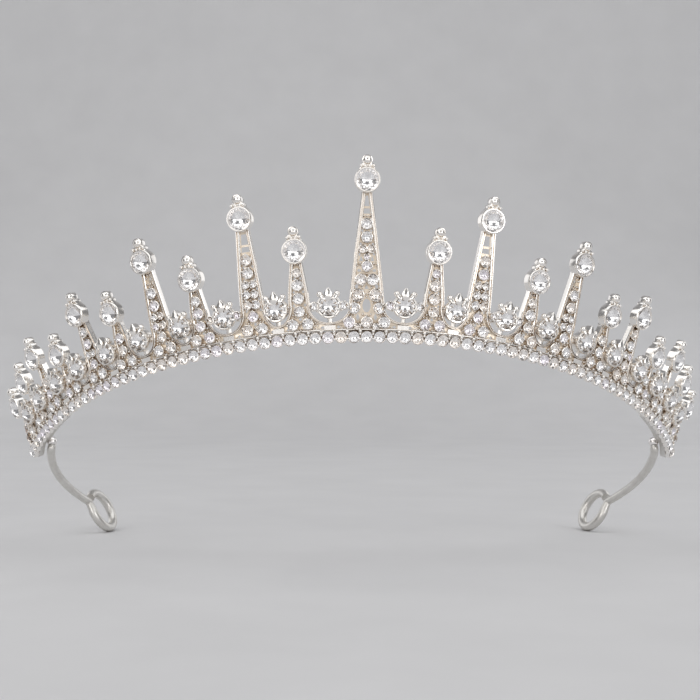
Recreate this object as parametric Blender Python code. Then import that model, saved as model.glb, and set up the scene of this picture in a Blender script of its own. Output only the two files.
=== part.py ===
"""Bridal tiara: seven cast panels of pierced spires on a rail, 41 large set stones, a row of small
stones along the lower edge, and two sprung wire arms that end in hairpin loops.

Metres, +Z up. The tiara is drawn in the plane of the head circle and then tilted, front up, as it is worn.
The origin is the centre of the head circle. Left and right are as seen from the front, which faces -Y.
"""

import math

import bmesh
import bpy
from mathutils import Matrix, Vector
from mathutils.geometry import delaunay_2d_cdt

for old in list(bpy.data.objects):
    bpy.data.objects.remove(old, do_unlink=True)

# The head circle and the lean of the front
BAND_RADIUS = 0.0730        # lower front edge of the bottom stones
FLARE_DEG = 29.0            # spires lean out from the axis of the head circle by this
TILT_DEG = 29.0             # front raised by this when worn, so that the middle spire stands upright

# Clearances
SEAT_GAP = 0.00015          # between soldered pieces
STONE_FIT = 0.00015         # round a stone in its seat
LEAST_STEP = 0.0004         # between two corners of an outline that may not meet

# Rail and bottom row of stones, as depths out from the lean of the front
ROW_PITCH = 0.0024
ROW_STONE = 0.0024          # height of one stone in its cup
ROW_LOW = -0.00055          # lower edge of the cups, under the plane of the head circle
ROW_DEPTH = 0.00105
ROW_NECK = 0.62             # height of the row between two stones, as a share of ROW_STONE
RAIL_LOW = -0.0003
RAIL_HEIGHT = 0.0021
RAIL_THICKNESS = 0.0014
RAIL_TAB = 0.0008           # rail beyond the last stone

# Spires: arcs along the lower edge from the middle outwards
FIRST_STEP = 0.0122
STEP_TO_TALL = 0.00855      # from a short spire out to the next tall one
STEP_TO_TALL_LOSS = 0.00025
STEP_TO_SHORT = 0.01035     # from a tall spire out to the next short one
STEP_TO_SHORT_LOSS = 0.0010
END_LENGTH = 0.0047         # gallery beyond the last spire
# Heights of the finial stones' centres, from the middle outwards
TALL_HEIGHTS = (0.0299, 0.0243, 0.0207, 0.0163, 0.0141, 0.0099)
SHORT_HEIGHTS = (0.0171, 0.0149, 0.0134, 0.0112, 0.0120)
NECK_HALF = 0.00102         # half width of a spire under its bezel
NECK_DROP = 0.00025         # from the bezel down to the top of the side bars
MIDDLE_SHOULDER_HALF = 0.0034
TALL_SHOULDER_HALF = 0.00215
SHORT_SHOULDER_HALF = 0.00195
SHOULDER_RUN = 0.006        # spires shorter than this above the gallery are slimmer
BAR_WIDTH = 0.0008          # polished side bars of a spire

# Stones and their settings
FINIAL_STONE_RADIUS = 0.00185
BEZEL_WALL = 0.0004
CROWN_WALL = 0.0004
CROWN_TOOTH = 0.00022       # prong tips beyond the crown's rim
CROWN_FILL = 1.113          # radius of the crowns, as a share of half the gap between two spires
LAST_CROWN_FILL = 0.989     # the same share at the last scallop, under a low spire
CROWN_CLEAR = 0.00005       # between a crown's free edge and a flank
STONE_CROWN = 0.0006        # height of a stone above its girdle
STONE_GIRDLE = 0.0002
STONE_PAVILION = 0.0015
STONE_TABLE = 0.56          # width of the table as a share of the stone

# Castings: depths of faces, measured out from the lower front edge's lean
PANEL_FRONT = -0.0006
PANEL_THICKNESS = 0.0018
WEB_THICKNESS = 0.0007
BEZEL_FRONT = 0.0009
BEZEL_DEPTH = 0.0027
FINIAL_FRONT = 0.00035
FINIAL_DEPTH = 0.0021
CROWN_FRONT = 0.0007
SCALLOP_RISE = 0.0046       # from the rail up to the middle of the scallops' stones
SHOULDER_RISE = 0.00165     # from there up to the spires' shoulders
GALLERY_SILL = 0.0010

# Finial of beads over each bezel
FINIAL_HALF = 0.00135
FINIAL_WAIST = 0.00078
FINIAL_BALL = 0.00093
FINIAL_HEIGHT = 0.0023      # above the bezel's rim

# Arms
WIRE_RADIUS = 0.00088
PIN_RADIUS = 0.00045
PIN_FIT = 0.00017
BEAD_RADIUS = 0.0011
BEAD_HEIGHT = 0.0017
BEAD_CENTRE = 0.0021        # above the plane of the head circle
WIRE_DROP = 0.00025         # between the bead and the wire under it
PIVOT_INSET = 0.0052        # from the rail's end to the pivot
ARM_TOE_DEG = 11.2          # the wire leaves the rail by this, inwards
ARM_BEND_RADIUS = 0.043
ARM_LENGTH = 0.0283
LOOP_REACH = 0.0050         # from the neck to the middle of the loop
LOOP_RADIUS = 0.0044
LOOP_END_SHARE = 0.85       # of the upper leg that is left open at the neck
ROOT_LENGTH = 0.0140        # wire soldered along the rail before the bead
ROOT_GAP = 0.0004

FLARE = math.radians(FLARE_DEG)
SIN_F = math.sin(FLARE)
COS_F = math.cos(FLARE)

RAIL_TOP = RAIL_LOW + RAIL_HEIGHT
RAIL_FRONT = -(ROW_DEPTH + SEAT_GAP)
RAIL_BACK = RAIL_FRONT - RAIL_THICKNESS
PANEL_FOOT = RAIL_TOP + SEAT_GAP
PANEL_BACK = PANEL_FRONT - PANEL_THICKNESS
WEB_FRONT = PANEL_BACK + WEB_THICKNESS
BEZEL_BACK = BEZEL_FRONT - BEZEL_DEPTH
FINIAL_BACK = FINIAL_FRONT - FINIAL_DEPTH
FINIAL_SEAT = FINIAL_STONE_RADIUS + STONE_FIT
BEZEL_RADIUS = FINIAL_SEAT + BEZEL_WALL
SCALLOP_HEIGHT = PANEL_FOOT + SCALLOP_RISE
SHOULDER_HEIGHT = SCALLOP_HEIGHT + SHOULDER_RISE
LOWEST_FINIAL = SCALLOP_HEIGHT + BEZEL_RADIUS + LEAST_STEP


def spire_arcs():
    """Arc of each spire on the right, from the middle one outwards."""
    arcs = [0.0, FIRST_STEP]
    to_tall = STEP_TO_TALL
    to_short = STEP_TO_SHORT
    for number in range(2, len(TALL_HEIGHTS) + len(SHORT_HEIGHTS)):
        if number % 2 == 0:
            arcs.append(arcs[-1] + to_tall)
            to_tall -= STEP_TO_TALL_LOSS
        else:
            arcs.append(arcs[-1] + to_short)
            to_short -= STEP_TO_SHORT_LOSS
    return arcs


def spire(number):
    """The sizes of one spire: its height, the top and bottom of its flanks and its half width there."""
    tall = number % 2 == 0
    height = (TALL_HEIGHTS if tall else SHORT_HEIGHTS)[number // 2]
    height = max(height, LOWEST_FINIAL)
    neck = height - math.sqrt(BEZEL_RADIUS ** 2 - NECK_HALF ** 2) - NECK_DROP
    shoulder = min(SHOULDER_HEIGHT, neck - LEAST_STEP)
    if number == 0:
        wide = MIDDLE_SHOULDER_HALF
    else:
        wide = TALL_SHOULDER_HALF if tall else SHORT_SHOULDER_HALF
    share = 0.45 + 0.55 * min(1.0, max(0.0, (neck - shoulder) / SHOULDER_RUN))
    half = NECK_HALF + (wide - NECK_HALF) * share
    return {"height": height, "neck": neck, "shoulder": shoulder, "half": half}


ARCS = spire_arcs()
SPIRES = [spire(number) for number in range(len(ARCS))]
ROW_PER_SIDE = int((ARCS[-1] + END_LENGTH) / ROW_PITCH)
RAIL_HALF = (ROW_PER_SIDE + 0.5) * ROW_PITCH + RAIL_TAB


def on_cone(angle, height, depth):
    """A point of the front in the head circle's frame: angle, height up the lean and depth."""
    radius = BAND_RADIUS + height * SIN_F + depth * COS_F
    return Vector((radius * math.sin(angle), -radius * math.cos(angle), height * COS_F - depth * SIN_F))


def frame_at(angle, height=0.0, depth=0.0):
    """Axes on the front: X along the band, Y up the lean, Z out of the face."""
    radial = Vector((math.sin(angle), -math.cos(angle), 0))
    along = Vector((math.cos(angle), math.sin(angle), 0))
    up = radial * SIN_F + Vector((0, 0, COS_F))
    out = radial * COS_F - Vector((0, 0, SIN_F))
    frame = Matrix((along, up, out)).transposed().to_4x4()
    frame.translation = on_cone(angle, height, depth)
    return frame


def aside(arc, across, height):
    """The angle of a point that lies across from an arc by a true distance at some height."""
    return arc / BAND_RADIUS + across / (BAND_RADIUS + height * SIN_F)


def scallop_edges(inner, outer):
    """Angles of the flanks of two neighbouring spires at the height of the scallop between them."""
    left = aside(ARCS[inner], SPIRES[inner]["half"], SCALLOP_HEIGHT)
    right = aside(ARCS[outer], -SPIRES[outer]["half"], SCALLOP_HEIGHT)
    return left, right


def scallop_arc(inner, outer):
    """Arc midway between the flanks of two neighbouring spires."""
    return 0.5 * sum(scallop_edges(inner, outer)) * BAND_RADIUS


def half_gap(inner, outer):
    """Half the width between the flanks of two neighbouring spires."""
    left, right = scallop_edges(inner, outer)
    return 0.5 * (right - left) * (BAND_RADIUS + SCALLOP_HEIGHT * SIN_F)


def crown_radius():
    """The largest crown that stands in every scallop."""
    last = len(ARCS) - 1
    fits = [CROWN_FILL * half_gap(number, number + 1) for number in range(last - 1)]
    return min(fits + [LAST_CROWN_FILL * half_gap(last - 1, last)])


CROWN_RADIUS = crown_radius()
SCALLOP_SEAT = CROWN_RADIUS - CROWN_WALL
SCALLOP_STONE_RADIUS = SCALLOP_SEAT - STONE_FIT


def material(name, colour, metallic, roughness, alpha=1.0):
    made = bpy.data.materials.new(name)
    made.use_nodes = True
    shader = made.node_tree.nodes["Principled BSDF"]
    shader.inputs["Base Color"].default_value = (*colour, 1.0)
    shader.inputs["Metallic"].default_value = metallic
    shader.inputs["Roughness"].default_value = roughness
    shader.inputs["Alpha"].default_value = alpha
    made.diffuse_color = (*colour, alpha)
    return made


CAST_SILVER = material("cast_silver", (0.86, 0.83, 0.79), 1.0, 0.18)
RAIL_SILVER = material("rail_silver", (0.62, 0.61, 0.59), 1.0, 0.30)
WIRE_SILVER = material("wire_silver", (0.66, 0.65, 0.62), 1.0, 0.34)
SOLDER = material("solder_silver", (0.88, 0.87, 0.85), 1.0, 0.22)
CRYSTAL = material("foiled_crystal", (0.93, 0.92, 0.93), 0.0, 0.03)
ROW_CRYSTAL = material("row_crystal", (0.92, 0.90, 0.88), 0.0, 0.06)

worn = bpy.data.objects.new("worn_tilt", None)
worn.rotation_euler = (-math.radians(TILT_DEG), 0, 0)
bpy.context.scene.collection.objects.link(worn)


def add(name, verts, faces, look, frame):
    """One closed body from points in its own frame, facing out, carried by the tilt."""
    mesh = bpy.data.meshes.new(name)
    mesh.from_pydata([tuple(v) for v in verts], [], faces)
    work = bmesh.new()
    work.from_mesh(mesh)
    bmesh.ops.recalc_face_normals(work, faces=work.faces)
    work.to_mesh(mesh)
    work.free()
    mesh.materials.append(look)
    made = bpy.data.objects.new(name, mesh)
    bpy.context.scene.collection.objects.link(made)
    made.parent = worn
    made.matrix_local = frame
    return made


def smooth(made):
    made.data.shade_smooth()
    made.data.set_sharp_from_angle(angle=math.radians(50))


def inside(point, loop):
    """Whether a point lies in a closed loop of points."""
    found = False
    x, y = point
    for (x1, y1), (x2, y2) in zip(loop, loop[1:] + loop[:1]):
        if (y1 > y) != (y2 > y) and x < (x2 - x1) * (y - y1) / (y2 - y1) + x1:
            found = not found
    return found


class Sheet:
    """A cast plate drawn flat as angle and height, with a front and a back depth at each point."""

    def __init__(self):
        self.points = []
        self.edges = []
        self.loops = {"edge": [], "hole": [], "web": []}

    def path(self, points, closed):
        first = len(self.points)
        self.points += points
        count = len(points)
        for step in range(count if closed else count - 1):
            self.edges.append((first + step, first + (step + 1) % count))
        return list(range(first, first + count))

    def loop(self, kind, points):
        self.path(points, True)
        self.loops[kind].append([(p[0] * BAND_RADIUS, p[1]) for p in points])

    def region(self, middle):
        if not inside(middle, self.loops["edge"][0]):
            return None
        if any(inside(middle, loop) for loop in self.loops["hole"]):
            return None
        if any(inside(middle, loop) for loop in self.loops["web"]):
            return "web"
        return "rim"

    def solid(self, name, look, middle_arc, mirrored):
        flat = [Vector((p[0] * BAND_RADIUS, p[1])) for p in self.points]
        made = delaunay_2d_cdt(flat, self.edges, [], 0, 1e-9)
        if len(made[0]) != len(flat):
            raise RuntimeError(name + ": two lines of its drawing cross")
        origin = [ids[0] for ids in made[3]]
        corners = {}
        verts = []
        faces = []
        sides = {}
        side = -1.0 if mirrored else 1.0
        frame = frame_at(side * middle_arc / BAND_RADIUS)
        to_local = frame.inverted()

        def corner(which, number):
            if (which, number) not in corners:
                angle, height, front, back = self.points[number]
                depth = {"rim": front, "web": WEB_FRONT, "back": back}[which]
                corners[which, number] = len(verts)
                verts.append(to_local @ on_cone(side * angle, height, depth))
            return corners[which, number]

        for face in made[2]:
            ids = [origin[v] for v in face]
            centre = sum((flat[i] for i in ids), Vector((0, 0))) / 3
            kind = self.region((centre.x, centre.y))
            for a, b in zip(ids, ids[1:] + ids[:1]):
                sides.setdefault((min(a, b), max(a, b)), []).append(kind)
            if kind is not None:
                faces.append([corner(kind, i) for i in ids])
                faces.append([corner("back", i) for i in reversed(ids)])
        for (a, b), kinds in sides.items():
            kinds = (kinds + [None])[:2]
            if kinds[0] == kinds[1]:
                continue
            low = "back" if None in kinds else "web"
            high = next(k for k in kinds if k is not None) if None in kinds else "rim"
            faces.append([corner(high, a), corner(high, b), corner(low, b), corner(low, a)])
        return add(name, verts, faces, look, frame)


def spire_top(arc, sizes):
    """Outline of one spire from its left shoulder over the finial to its right shoulder."""
    height = sizes["height"]
    lower = math.asin(NECK_HALF / BEZEL_RADIUS)
    upper = math.asin(min(0.9, FINIAL_HALF * 0.9 / BEZEL_RADIUS))
    right = [(sizes["half"], sizes["shoulder"], PANEL_FRONT, PANEL_BACK)]
    right.append((NECK_HALF, sizes["neck"], PANEL_FRONT, PANEL_BACK))
    steps = 7
    for step in range(steps + 1):
        turn = -math.pi / 2 + lower + (math.pi - lower - upper) * step / steps
        x = BEZEL_RADIUS * math.cos(turn)
        y = height + BEZEL_RADIUS * math.sin(turn)
        right.append((x, y, BEZEL_FRONT, BEZEL_BACK))
    rim = height + BEZEL_RADIUS
    shape = (
        (FINIAL_HALF, 0.06),
        (FINIAL_HALF * 0.92, 0.26),
        (FINIAL_WAIST, 0.36),
        (FINIAL_BALL, 0.60),
        (FINIAL_BALL * 0.72, 0.88),
    )
    for x, share in shape:
        right.append((x, rim + share * FINIAL_HEIGHT, FINIAL_FRONT, FINIAL_BACK))
    top = [(0.0, rim + FINIAL_HEIGHT, FINIAL_FRONT, FINIAL_BACK)]
    left = [(-x, y, front, back) for x, y, front, back in right]
    whole = left + top + right[::-1]
    return [(aside(arc, x, y), y, front, back) for x, y, front, back in whole]


def ring(arc, height, radius, front, back, count):
    points = []
    for step in range(count):
        turn = 2 * math.pi * (step + 0.5) / count
        x = radius * math.cos(turn)
        y = height + radius * math.sin(turn)
        points.append((aside(arc, x, y), y, front, back))
    return points


def crown_touch(sizes, gap):
    """Height over a crown's middle at which a spire's flank runs into it."""
    reach = min(0.966 * CROWN_RADIUS, gap - CROWN_CLEAR)
    height = math.sqrt(CROWN_RADIUS ** 2 - reach ** 2)
    return min(height, sizes["shoulder"] - SCALLOP_HEIGHT - LEAST_STEP)


def crown_top(arc, left, right):
    """Outline of a crown from the touch of the spire on its left, over its prongs, to that on its right."""
    start = math.pi - math.asin(left / CROWN_RADIUS)
    end = math.asin(right / CROWN_RADIUS)
    steps = 8
    points = []
    for step in range(steps + 1):
        turn = start + (end - start) * step / steps
        radius = CROWN_RADIUS + (CROWN_TOOTH if step % 2 and step not in (0, steps) else 0.0)
        x = radius * math.cos(turn)
        y = SCALLOP_HEIGHT + radius * math.sin(turn)
        front = CROWN_FRONT if step not in (0, steps) else PANEL_FRONT
        points.append((aside(arc, x, y), y, front, PANEL_BACK))
    return points


def crown_collar(arc, left, right):
    """Lower half of a crown, inside the plate, from right to left."""
    start = math.asin(right / CROWN_RADIUS)
    end = -math.pi - math.asin(left / CROWN_RADIUS)
    steps = 7
    points = []
    for step in range(1, steps):
        turn = start + (end - start) * step / steps
        x = CROWN_RADIUS * math.cos(turn)
        y = SCALLOP_HEIGHT + CROWN_RADIUS * math.sin(turn)
        points.append((aside(arc, x, y), y, PANEL_FRONT, PANEL_BACK))
    return points


def pave_field(sheet, arc, sizes):
    """The sunk field between a spire's side bars."""
    low = PANEL_FOOT + GALLERY_SILL
    wide = sizes["half"] - BAR_WIDTH
    narrow = NECK_HALF - 0.45 * BAR_WIDTH
    top = sizes["neck"] - 0.8 * BAR_WIDTH
    middle = min(sizes["shoulder"], top - LEAST_STEP)
    corners = ((-wide, low), (wide, low), (wide, middle), (narrow, top), (-narrow, top), (-wide, middle))
    if narrow > wide:
        return
    sheet.loop("web", [(aside(arc, x, y), y, PANEL_FRONT, PANEL_BACK) for x, y in corners])


def panel(name, numbers, scallops, left_end, right_end, mirrored=False):
    """One casting: spires by number and the scallops between them, from left to right.

    left_end and right_end hold the outline's corners at either end, from the foot up and from the top down.
    """
    sheet = Sheet()
    outline = list(left_end)
    feet = []
    for position, (arc, sizes) in enumerate(numbers):
        for scallop, at in scallops:
            if at == position:
                outline += crown_top(scallop["arc"], scallop["left"], scallop["right"])
                feet.append(scallop["arc"] / BAND_RADIUS)
        outline += spire_top(arc, sizes)
        feet.append(arc / BAND_RADIUS)
    outline += right_end
    outline += [(foot, PANEL_FOOT, PANEL_FRONT, PANEL_BACK) for foot in reversed(feet)]
    sheet.loop("edge", outline)
    for arc, sizes in numbers:
        sheet.loop("hole", ring(arc, sizes["height"], FINIAL_SEAT, BEZEL_FRONT, BEZEL_BACK, 14))
        pave_field(sheet, arc, sizes)
    for scallop, _ in scallops:
        sheet.loop("hole", ring(scallop["arc"], SCALLOP_HEIGHT, SCALLOP_SEAT, CROWN_FRONT, PANEL_BACK, 14))
        sheet.path(crown_collar(scallop["arc"], scallop["left"], scallop["right"]), False)
    middle = 0.5 * (numbers[0][0] + numbers[-1][0])
    return sheet.solid(name, CAST_SILVER, middle, mirrored)


def seam(inner, outer):
    """Angle of the joint between two castings, midway from a spire's sunk field to the next crown."""
    field = aside(ARCS[inner], SPIRES[inner]["half"] - BAR_WIDTH, SCALLOP_HEIGHT)
    crown = aside(scallop_arc(inner, outer), -CROWN_RADIUS, SCALLOP_HEIGHT)
    return 0.5 * (field + crown)


def corner(angle, height):
    return (angle, height, PANEL_FRONT, PANEL_BACK)


def inner_end(angle):
    """Left end of a casting at a seam: up from the foot."""
    gap = 0.5 * SEAT_GAP / BAND_RADIUS
    return [corner(angle + gap, PANEL_FOOT), corner(angle + gap, SCALLOP_HEIGHT)]


def outer_end(angle, sizes):
    """Right end of a casting at a seam: down to the foot."""
    gap = 0.5 * SEAT_GAP / BAND_RADIUS
    height = min(SCALLOP_HEIGHT, sizes["shoulder"] - LEAST_STEP)
    return [corner(angle - gap, height), corner(angle - gap, PANEL_FOOT)]


def scallop_between(inner, outer):
    gap = half_gap(inner, outer)
    return {
        "arc": scallop_arc(inner, outer),
        "left": crown_touch(SPIRES[inner], gap),
        "right": crown_touch(SPIRES[outer], gap),
    }


def centre_panel():
    right = scallop_between(0, 1)
    left = {"arc": -right["arc"], "left": right["right"], "right": right["left"]}
    end = outer_end(seam(1, 2), SPIRES[1])
    start = [(-angle, height, front, back) for angle, height, front, back in reversed(end)]
    numbers = [(-ARCS[1], SPIRES[1]), (0.0, SPIRES[0]), (ARCS[1], SPIRES[1])]
    panel("centre_panel", numbers, [(left, 1), (right, 2)], start, end)


def tail_end():
    """Right end of the last casting: the gallery running down to the rail's end."""
    arc = ARCS[-1]
    sizes = SPIRES[-1]
    drop = sizes["shoulder"] - PANEL_FOOT
    shape = ((0.42, 0.62), (0.68, 0.42), (0.9, 0.2))
    points = []
    for along, up in shape:
        height = PANEL_FOOT + up * drop
        points.append(corner(aside(arc, along * END_LENGTH, height), height))
    points.append(corner(aside(arc, 0.97 * END_LENGTH, PANEL_FOOT), PANEL_FOOT))
    return points


def side_panel(name, first, mirrored):
    chosen = [first, first + 1, first + 2]
    numbers = [(ARCS[n], SPIRES[n]) for n in chosen]
    scallops = [(scallop_between(n - 1, n), position) for position, n in enumerate(chosen)]
    start = inner_end(seam(first - 1, first))
    last = chosen[-1]
    end = tail_end() if last == len(ARCS) - 1 else outer_end(seam(last, last + 1), SPIRES[last])
    panel(name, numbers, scallops, start, end, mirrored)


centre_panel()
for side_name, is_left in (("left", True), ("right", False)):
    for panel_name, first_spire in (("inner", 2), ("middle", 5), ("outer", 8)):
        side_panel(f"{side_name}_{panel_name}_panel", first_spire, is_left)


def stone(name, angle, height, radius, front):
    """A round brilliant with its table to the front, in a seat whose rim is at this depth."""
    count = 14
    girdle = front - 0.45 * STONE_CROWN
    profile = (
        (radius, girdle - STONE_GIRDLE),
        (radius, girdle),
        (radius * STONE_TABLE, girdle + STONE_CROWN),
    )
    verts = [Vector((0, 0, girdle - STONE_GIRDLE - STONE_PAVILION))]
    for across, depth in profile:
        for step in range(count):
            turn = 2 * math.pi * (step + 0.5) / count
            verts.append(Vector((across * math.cos(turn), across * math.sin(turn), depth)))
    faces = [[1 + (step + 1) % count, 1 + step, 0] for step in range(count)]
    for row in range(2):
        base = 1 + row * count
        for step in range(count):
            a = base + step
            b = base + (step + 1) % count
            faces.append([a, b, b + count, a + count])
    faces.append([1 + 2 * count + step for step in range(count)])
    return add(name, verts, faces, CRYSTAL, frame_at(angle, height))


stone("finial_stone_centre", 0.0, SPIRES[0]["height"], FINIAL_STONE_RADIUS, BEZEL_FRONT)
for number in range(1, len(ARCS)):
    for side_name, sign in (("left", -1), ("right", 1)):
        angle = sign * ARCS[number] / BAND_RADIUS
        stone(
            f"finial_stone_{side_name}_{number:02d}",
            angle,
            SPIRES[number]["height"],
            FINIAL_STONE_RADIUS,
            BEZEL_FRONT,
        )
        angle = sign * scallop_arc(number - 1, number) / BAND_RADIUS
        stone(
            f"scallop_stone_{side_name}_{number:02d}",
            angle,
            SCALLOP_HEIGHT,
            SCALLOP_STONE_RADIUS,
            CROWN_FRONT,
        )


def sweep(name, sections, look):
    """A closed body through cross-sections of the same count, each a loop of points."""
    count = len(sections[0])
    verts = [point for section in sections for point in section]
    faces = []
    for row in range(len(sections) - 1):
        for step in range(count):
            a = row * count + step
            b = row * count + (step + 1) % count
            faces.append([a, b, b + count, a + count])
    faces.append(list(range(count)))
    faces.append(list(range(len(verts) - count, len(verts))))
    return add(name, verts, faces, look, Matrix.Identity(4))


def lower_rail():
    half = 0.5 * RAIL_HEIGHT
    middle = RAIL_LOW + half
    rounding = (0.35, 0.65, 0.86, 0.97)
    stops = [(-RAIL_HALF + half * (1 - math.sqrt(1 - s * s)), half * s) for s in rounding]
    straight = 2 * (RAIL_HALF - half)
    segments = 2 * ROW_PER_SIDE + 2
    for step in range(segments + 1):
        stops.append((-RAIL_HALF + half + straight * step / segments, half))
    for arc, tall in reversed(stops[: len(rounding)]):
        stops.append((-arc, tall))
    sections = []
    for arc, tall in stops:
        angle = arc / BAND_RADIUS
        sections.append(
            [
                on_cone(angle, middle - tall, RAIL_FRONT),
                on_cone(angle, middle + tall, RAIL_FRONT),
                on_cone(angle, middle + tall, RAIL_BACK),
                on_cone(angle, middle - tall, RAIL_BACK),
            ]
        )
    sweep("lower_rail", sections, RAIL_SILVER)


def bottom_stone_row():
    """Small stones in linked cups: one strip that swells at each stone."""
    back = -ROW_DEPTH
    middle = ROW_LOW + 0.5 * ROW_STONE
    sections = []
    for number in range(-ROW_PER_SIDE, ROW_PER_SIDE + 1):
        stops = ((-0.5, ROW_NECK), (-0.24, 1.0), (0.24, 1.0))
        if number == ROW_PER_SIDE:
            stops += ((0.5, ROW_NECK),)
        for along, share in stops:
            angle = (number + along) * ROW_PITCH / BAND_RADIUS
            tall = 0.5 * ROW_STONE * share
            face = 0.0 if share == 1.0 else -0.45 * ROW_DEPTH
            sections.append(
                [
                    on_cone(angle, middle - tall, back),
                    on_cone(angle, middle - 0.6 * tall, face),
                    on_cone(angle, middle + 0.6 * tall, face),
                    on_cone(angle, middle + tall, back),
                ]
            )
    sweep("bottom_stone_row", sections, ROW_CRYSTAL)


lower_rail()
bottom_stone_row()

# The arms: a pin of the wire stands in a bead on the rail's inner face, and the wire springs about it
WIRE_HEIGHT = BEAD_CENTRE - 0.5 * BEAD_HEIGHT - WIRE_DROP - WIRE_RADIUS
PIVOT_ANGLE = (RAIL_HALF - PIVOT_INSET) / BAND_RADIUS
RAIL_INNER = BAND_RADIUS + (BEAD_CENTRE + RAIL_BACK * SIN_F) / COS_F * SIN_F + RAIL_BACK * COS_F
PIVOT_RADIUS = RAIL_INNER - (BEAD_RADIUS + SEAT_GAP) / COS_F


def pivot(sign):
    angle = sign * PIVOT_ANGLE
    return Vector((PIVOT_RADIUS * math.sin(angle), -PIVOT_RADIUS * math.cos(angle), 0))


def arm_bead(name, sign):
    half = 0.5 * BEAD_HEIGHT
    bore = PIN_RADIUS + PIN_FIT
    profile = (
        (bore, -half),
        (0.74 * BEAD_RADIUS, -half),
        (BEAD_RADIUS, -0.36 * half),
        (BEAD_RADIUS, 0.36 * half),
        (0.74 * BEAD_RADIUS, half),
        (bore, half),
    )
    count = 14
    verts = []
    for across, height in profile:
        for step in range(count):
            turn = 2 * math.pi * step / count
            verts.append(Vector((across * math.cos(turn), across * math.sin(turn), height)))
    faces = []
    for row in range(len(profile)):
        for step in range(count):
            a = row * count + step
            b = row * count + (step + 1) % count
            c = (row + 1) % len(profile) * count
            faces.append([a, b, c + (step + 1) % count, c + step])
    place = Matrix.Translation(pivot(sign) + Vector((0, 0, BEAD_CENTRE)))
    smooth(add(name, verts, faces, SOLDER, place))


def arm_route():
    """Centre line of the right arm from its pivot, with the wire's radius at each point."""
    route = [(Vector((0, 0, BEAD_CENTRE + 0.36 * BEAD_HEIGHT)), PIN_RADIUS)]
    turn_radius = 1.1 * WIRE_RADIUS
    heading = PIVOT_ANGLE + math.radians(ARM_TOE_DEG)
    ahead = Vector((math.cos(heading), math.sin(heading), 0))
    route.append((Vector((0, 0, BEAD_CENTRE - 0.5 * BEAD_HEIGHT)), PIN_RADIUS))
    for step in range(1, 5):
        turn = 0.5 * math.pi * step / 4
        spot = ahead * turn_radius * (1 - math.cos(turn))
        spot.z = WIRE_HEIGHT + turn_radius * (1 - math.sin(turn))
        route.append((spot, PIN_RADIUS + (WIRE_RADIUS - PIN_RADIUS) * step / 4))
    spot = route[-1][0].copy()
    pieces = 15
    length = ARM_LENGTH / pieces
    for step in range(pieces):
        heading += length / ARM_BEND_RADIUS
        ahead = Vector((math.cos(heading), math.sin(heading), 0))
        spot = spot + ahead * length
        route.append((spot.copy(), WIRE_RADIUS))
    up = Vector((0, 0, 1))
    neck = spot
    open_angle = math.acos(LOOP_RADIUS / LOOP_REACH)
    middle = neck + ahead * LOOP_REACH
    lower = middle - ahead * LOOP_RADIUS * math.cos(open_angle) - up * LOOP_RADIUS * math.sin(open_angle)
    upper = middle - ahead * LOOP_RADIUS * math.cos(open_angle) + up * LOOP_RADIUS * math.sin(open_angle)
    before = route.pop()[0] - ahead * 0.4 * length
    for share in (0.0, 0.35, 0.7, 1.0):
        after = neck + (lower - neck) * 0.3
        bend = before * (1 - share) ** 2 + neck * 2 * share * (1 - share) + after * share ** 2
        route.append((bend, WIRE_RADIUS))
    route.append((neck + (lower - neck) * 0.65, WIRE_RADIUS))
    arcs = 18
    start = -math.pi + open_angle
    for step in range(arcs + 1):
        turn = start + (2 * math.pi - 2 * open_angle) * step / arcs
        spot = middle + ahead * LOOP_RADIUS * math.cos(turn) + up * LOOP_RADIUS * math.sin(turn)
        route.append((spot, WIRE_RADIUS))
    for share in (0.5, 1.0):
        route.append((upper + (neck - upper) * (1 - LOOP_END_SHARE) * share, WIRE_RADIUS))
    return route


def wire(name, route):
    """A round wire along points, each with its own radius."""
    count = 10
    sections = []
    side = Vector((1, 0, 0))
    for number, (spot, radius) in enumerate(route):
        before = route[max(number - 1, 0)][0]
        after = route[min(number + 1, len(route) - 1)][0]
        ahead = (after - before).normalized()
        side = (side - ahead * side.dot(ahead)).normalized()
        other = ahead.cross(side)
        ring_points = []
        for step in range(count):
            turn = 2 * math.pi * step / count
            ring_points.append(spot + (side * math.cos(turn) + other * math.sin(turn)) * radius)
        sections.append(ring_points)
    made = sweep(name, sections, WIRE_SILVER)
    smooth(made)
    return made


def arm(name, sign):
    route = []
    for spot, radius in arm_route():
        route.append((Vector((sign * spot.x, spot.y, spot.z)), radius))
    made = wire(name, route)
    made.matrix_local = Matrix.Translation(pivot(sign))


def arm_root(name, sign):
    """The end of the wire that is soldered along the rail's inner face."""
    end = RAIL_HALF - PIVOT_INSET - BEAD_RADIUS - ROOT_GAP
    height = RAIL_LOW + 0.25 * RAIL_HEIGHT
    depth = RAIL_BACK - SEAT_GAP - WIRE_RADIUS
    route = []
    pieces = 8
    for step in range(pieces + 1):
        arc = end - ROOT_LENGTH * (1 - step / pieces)
        route.append((on_cone(sign * arc / BAND_RADIUS, height, depth), WIRE_RADIUS))
    wire(name, route)


arm_bead("left_arm_bead", -1)
arm_bead("right_arm_bead", 1)
arm("left_arm", -1)
arm("right_arm", 1)
arm_root("left_arm_root", -1)
arm_root("right_arm_root", 1)
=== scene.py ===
"""The looks of the bridal tiara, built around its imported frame.

Metres, +Z up. The front faces -Y and is raised as the tiara is worn.
Left and right are as seen from the front.
"""

import math
import random
from math import cos, pi, radians, sin

import bmesh
import bpy
from mathutils import Matrix, Vector
from mathutils.geometry import tessellate_polygon


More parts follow.
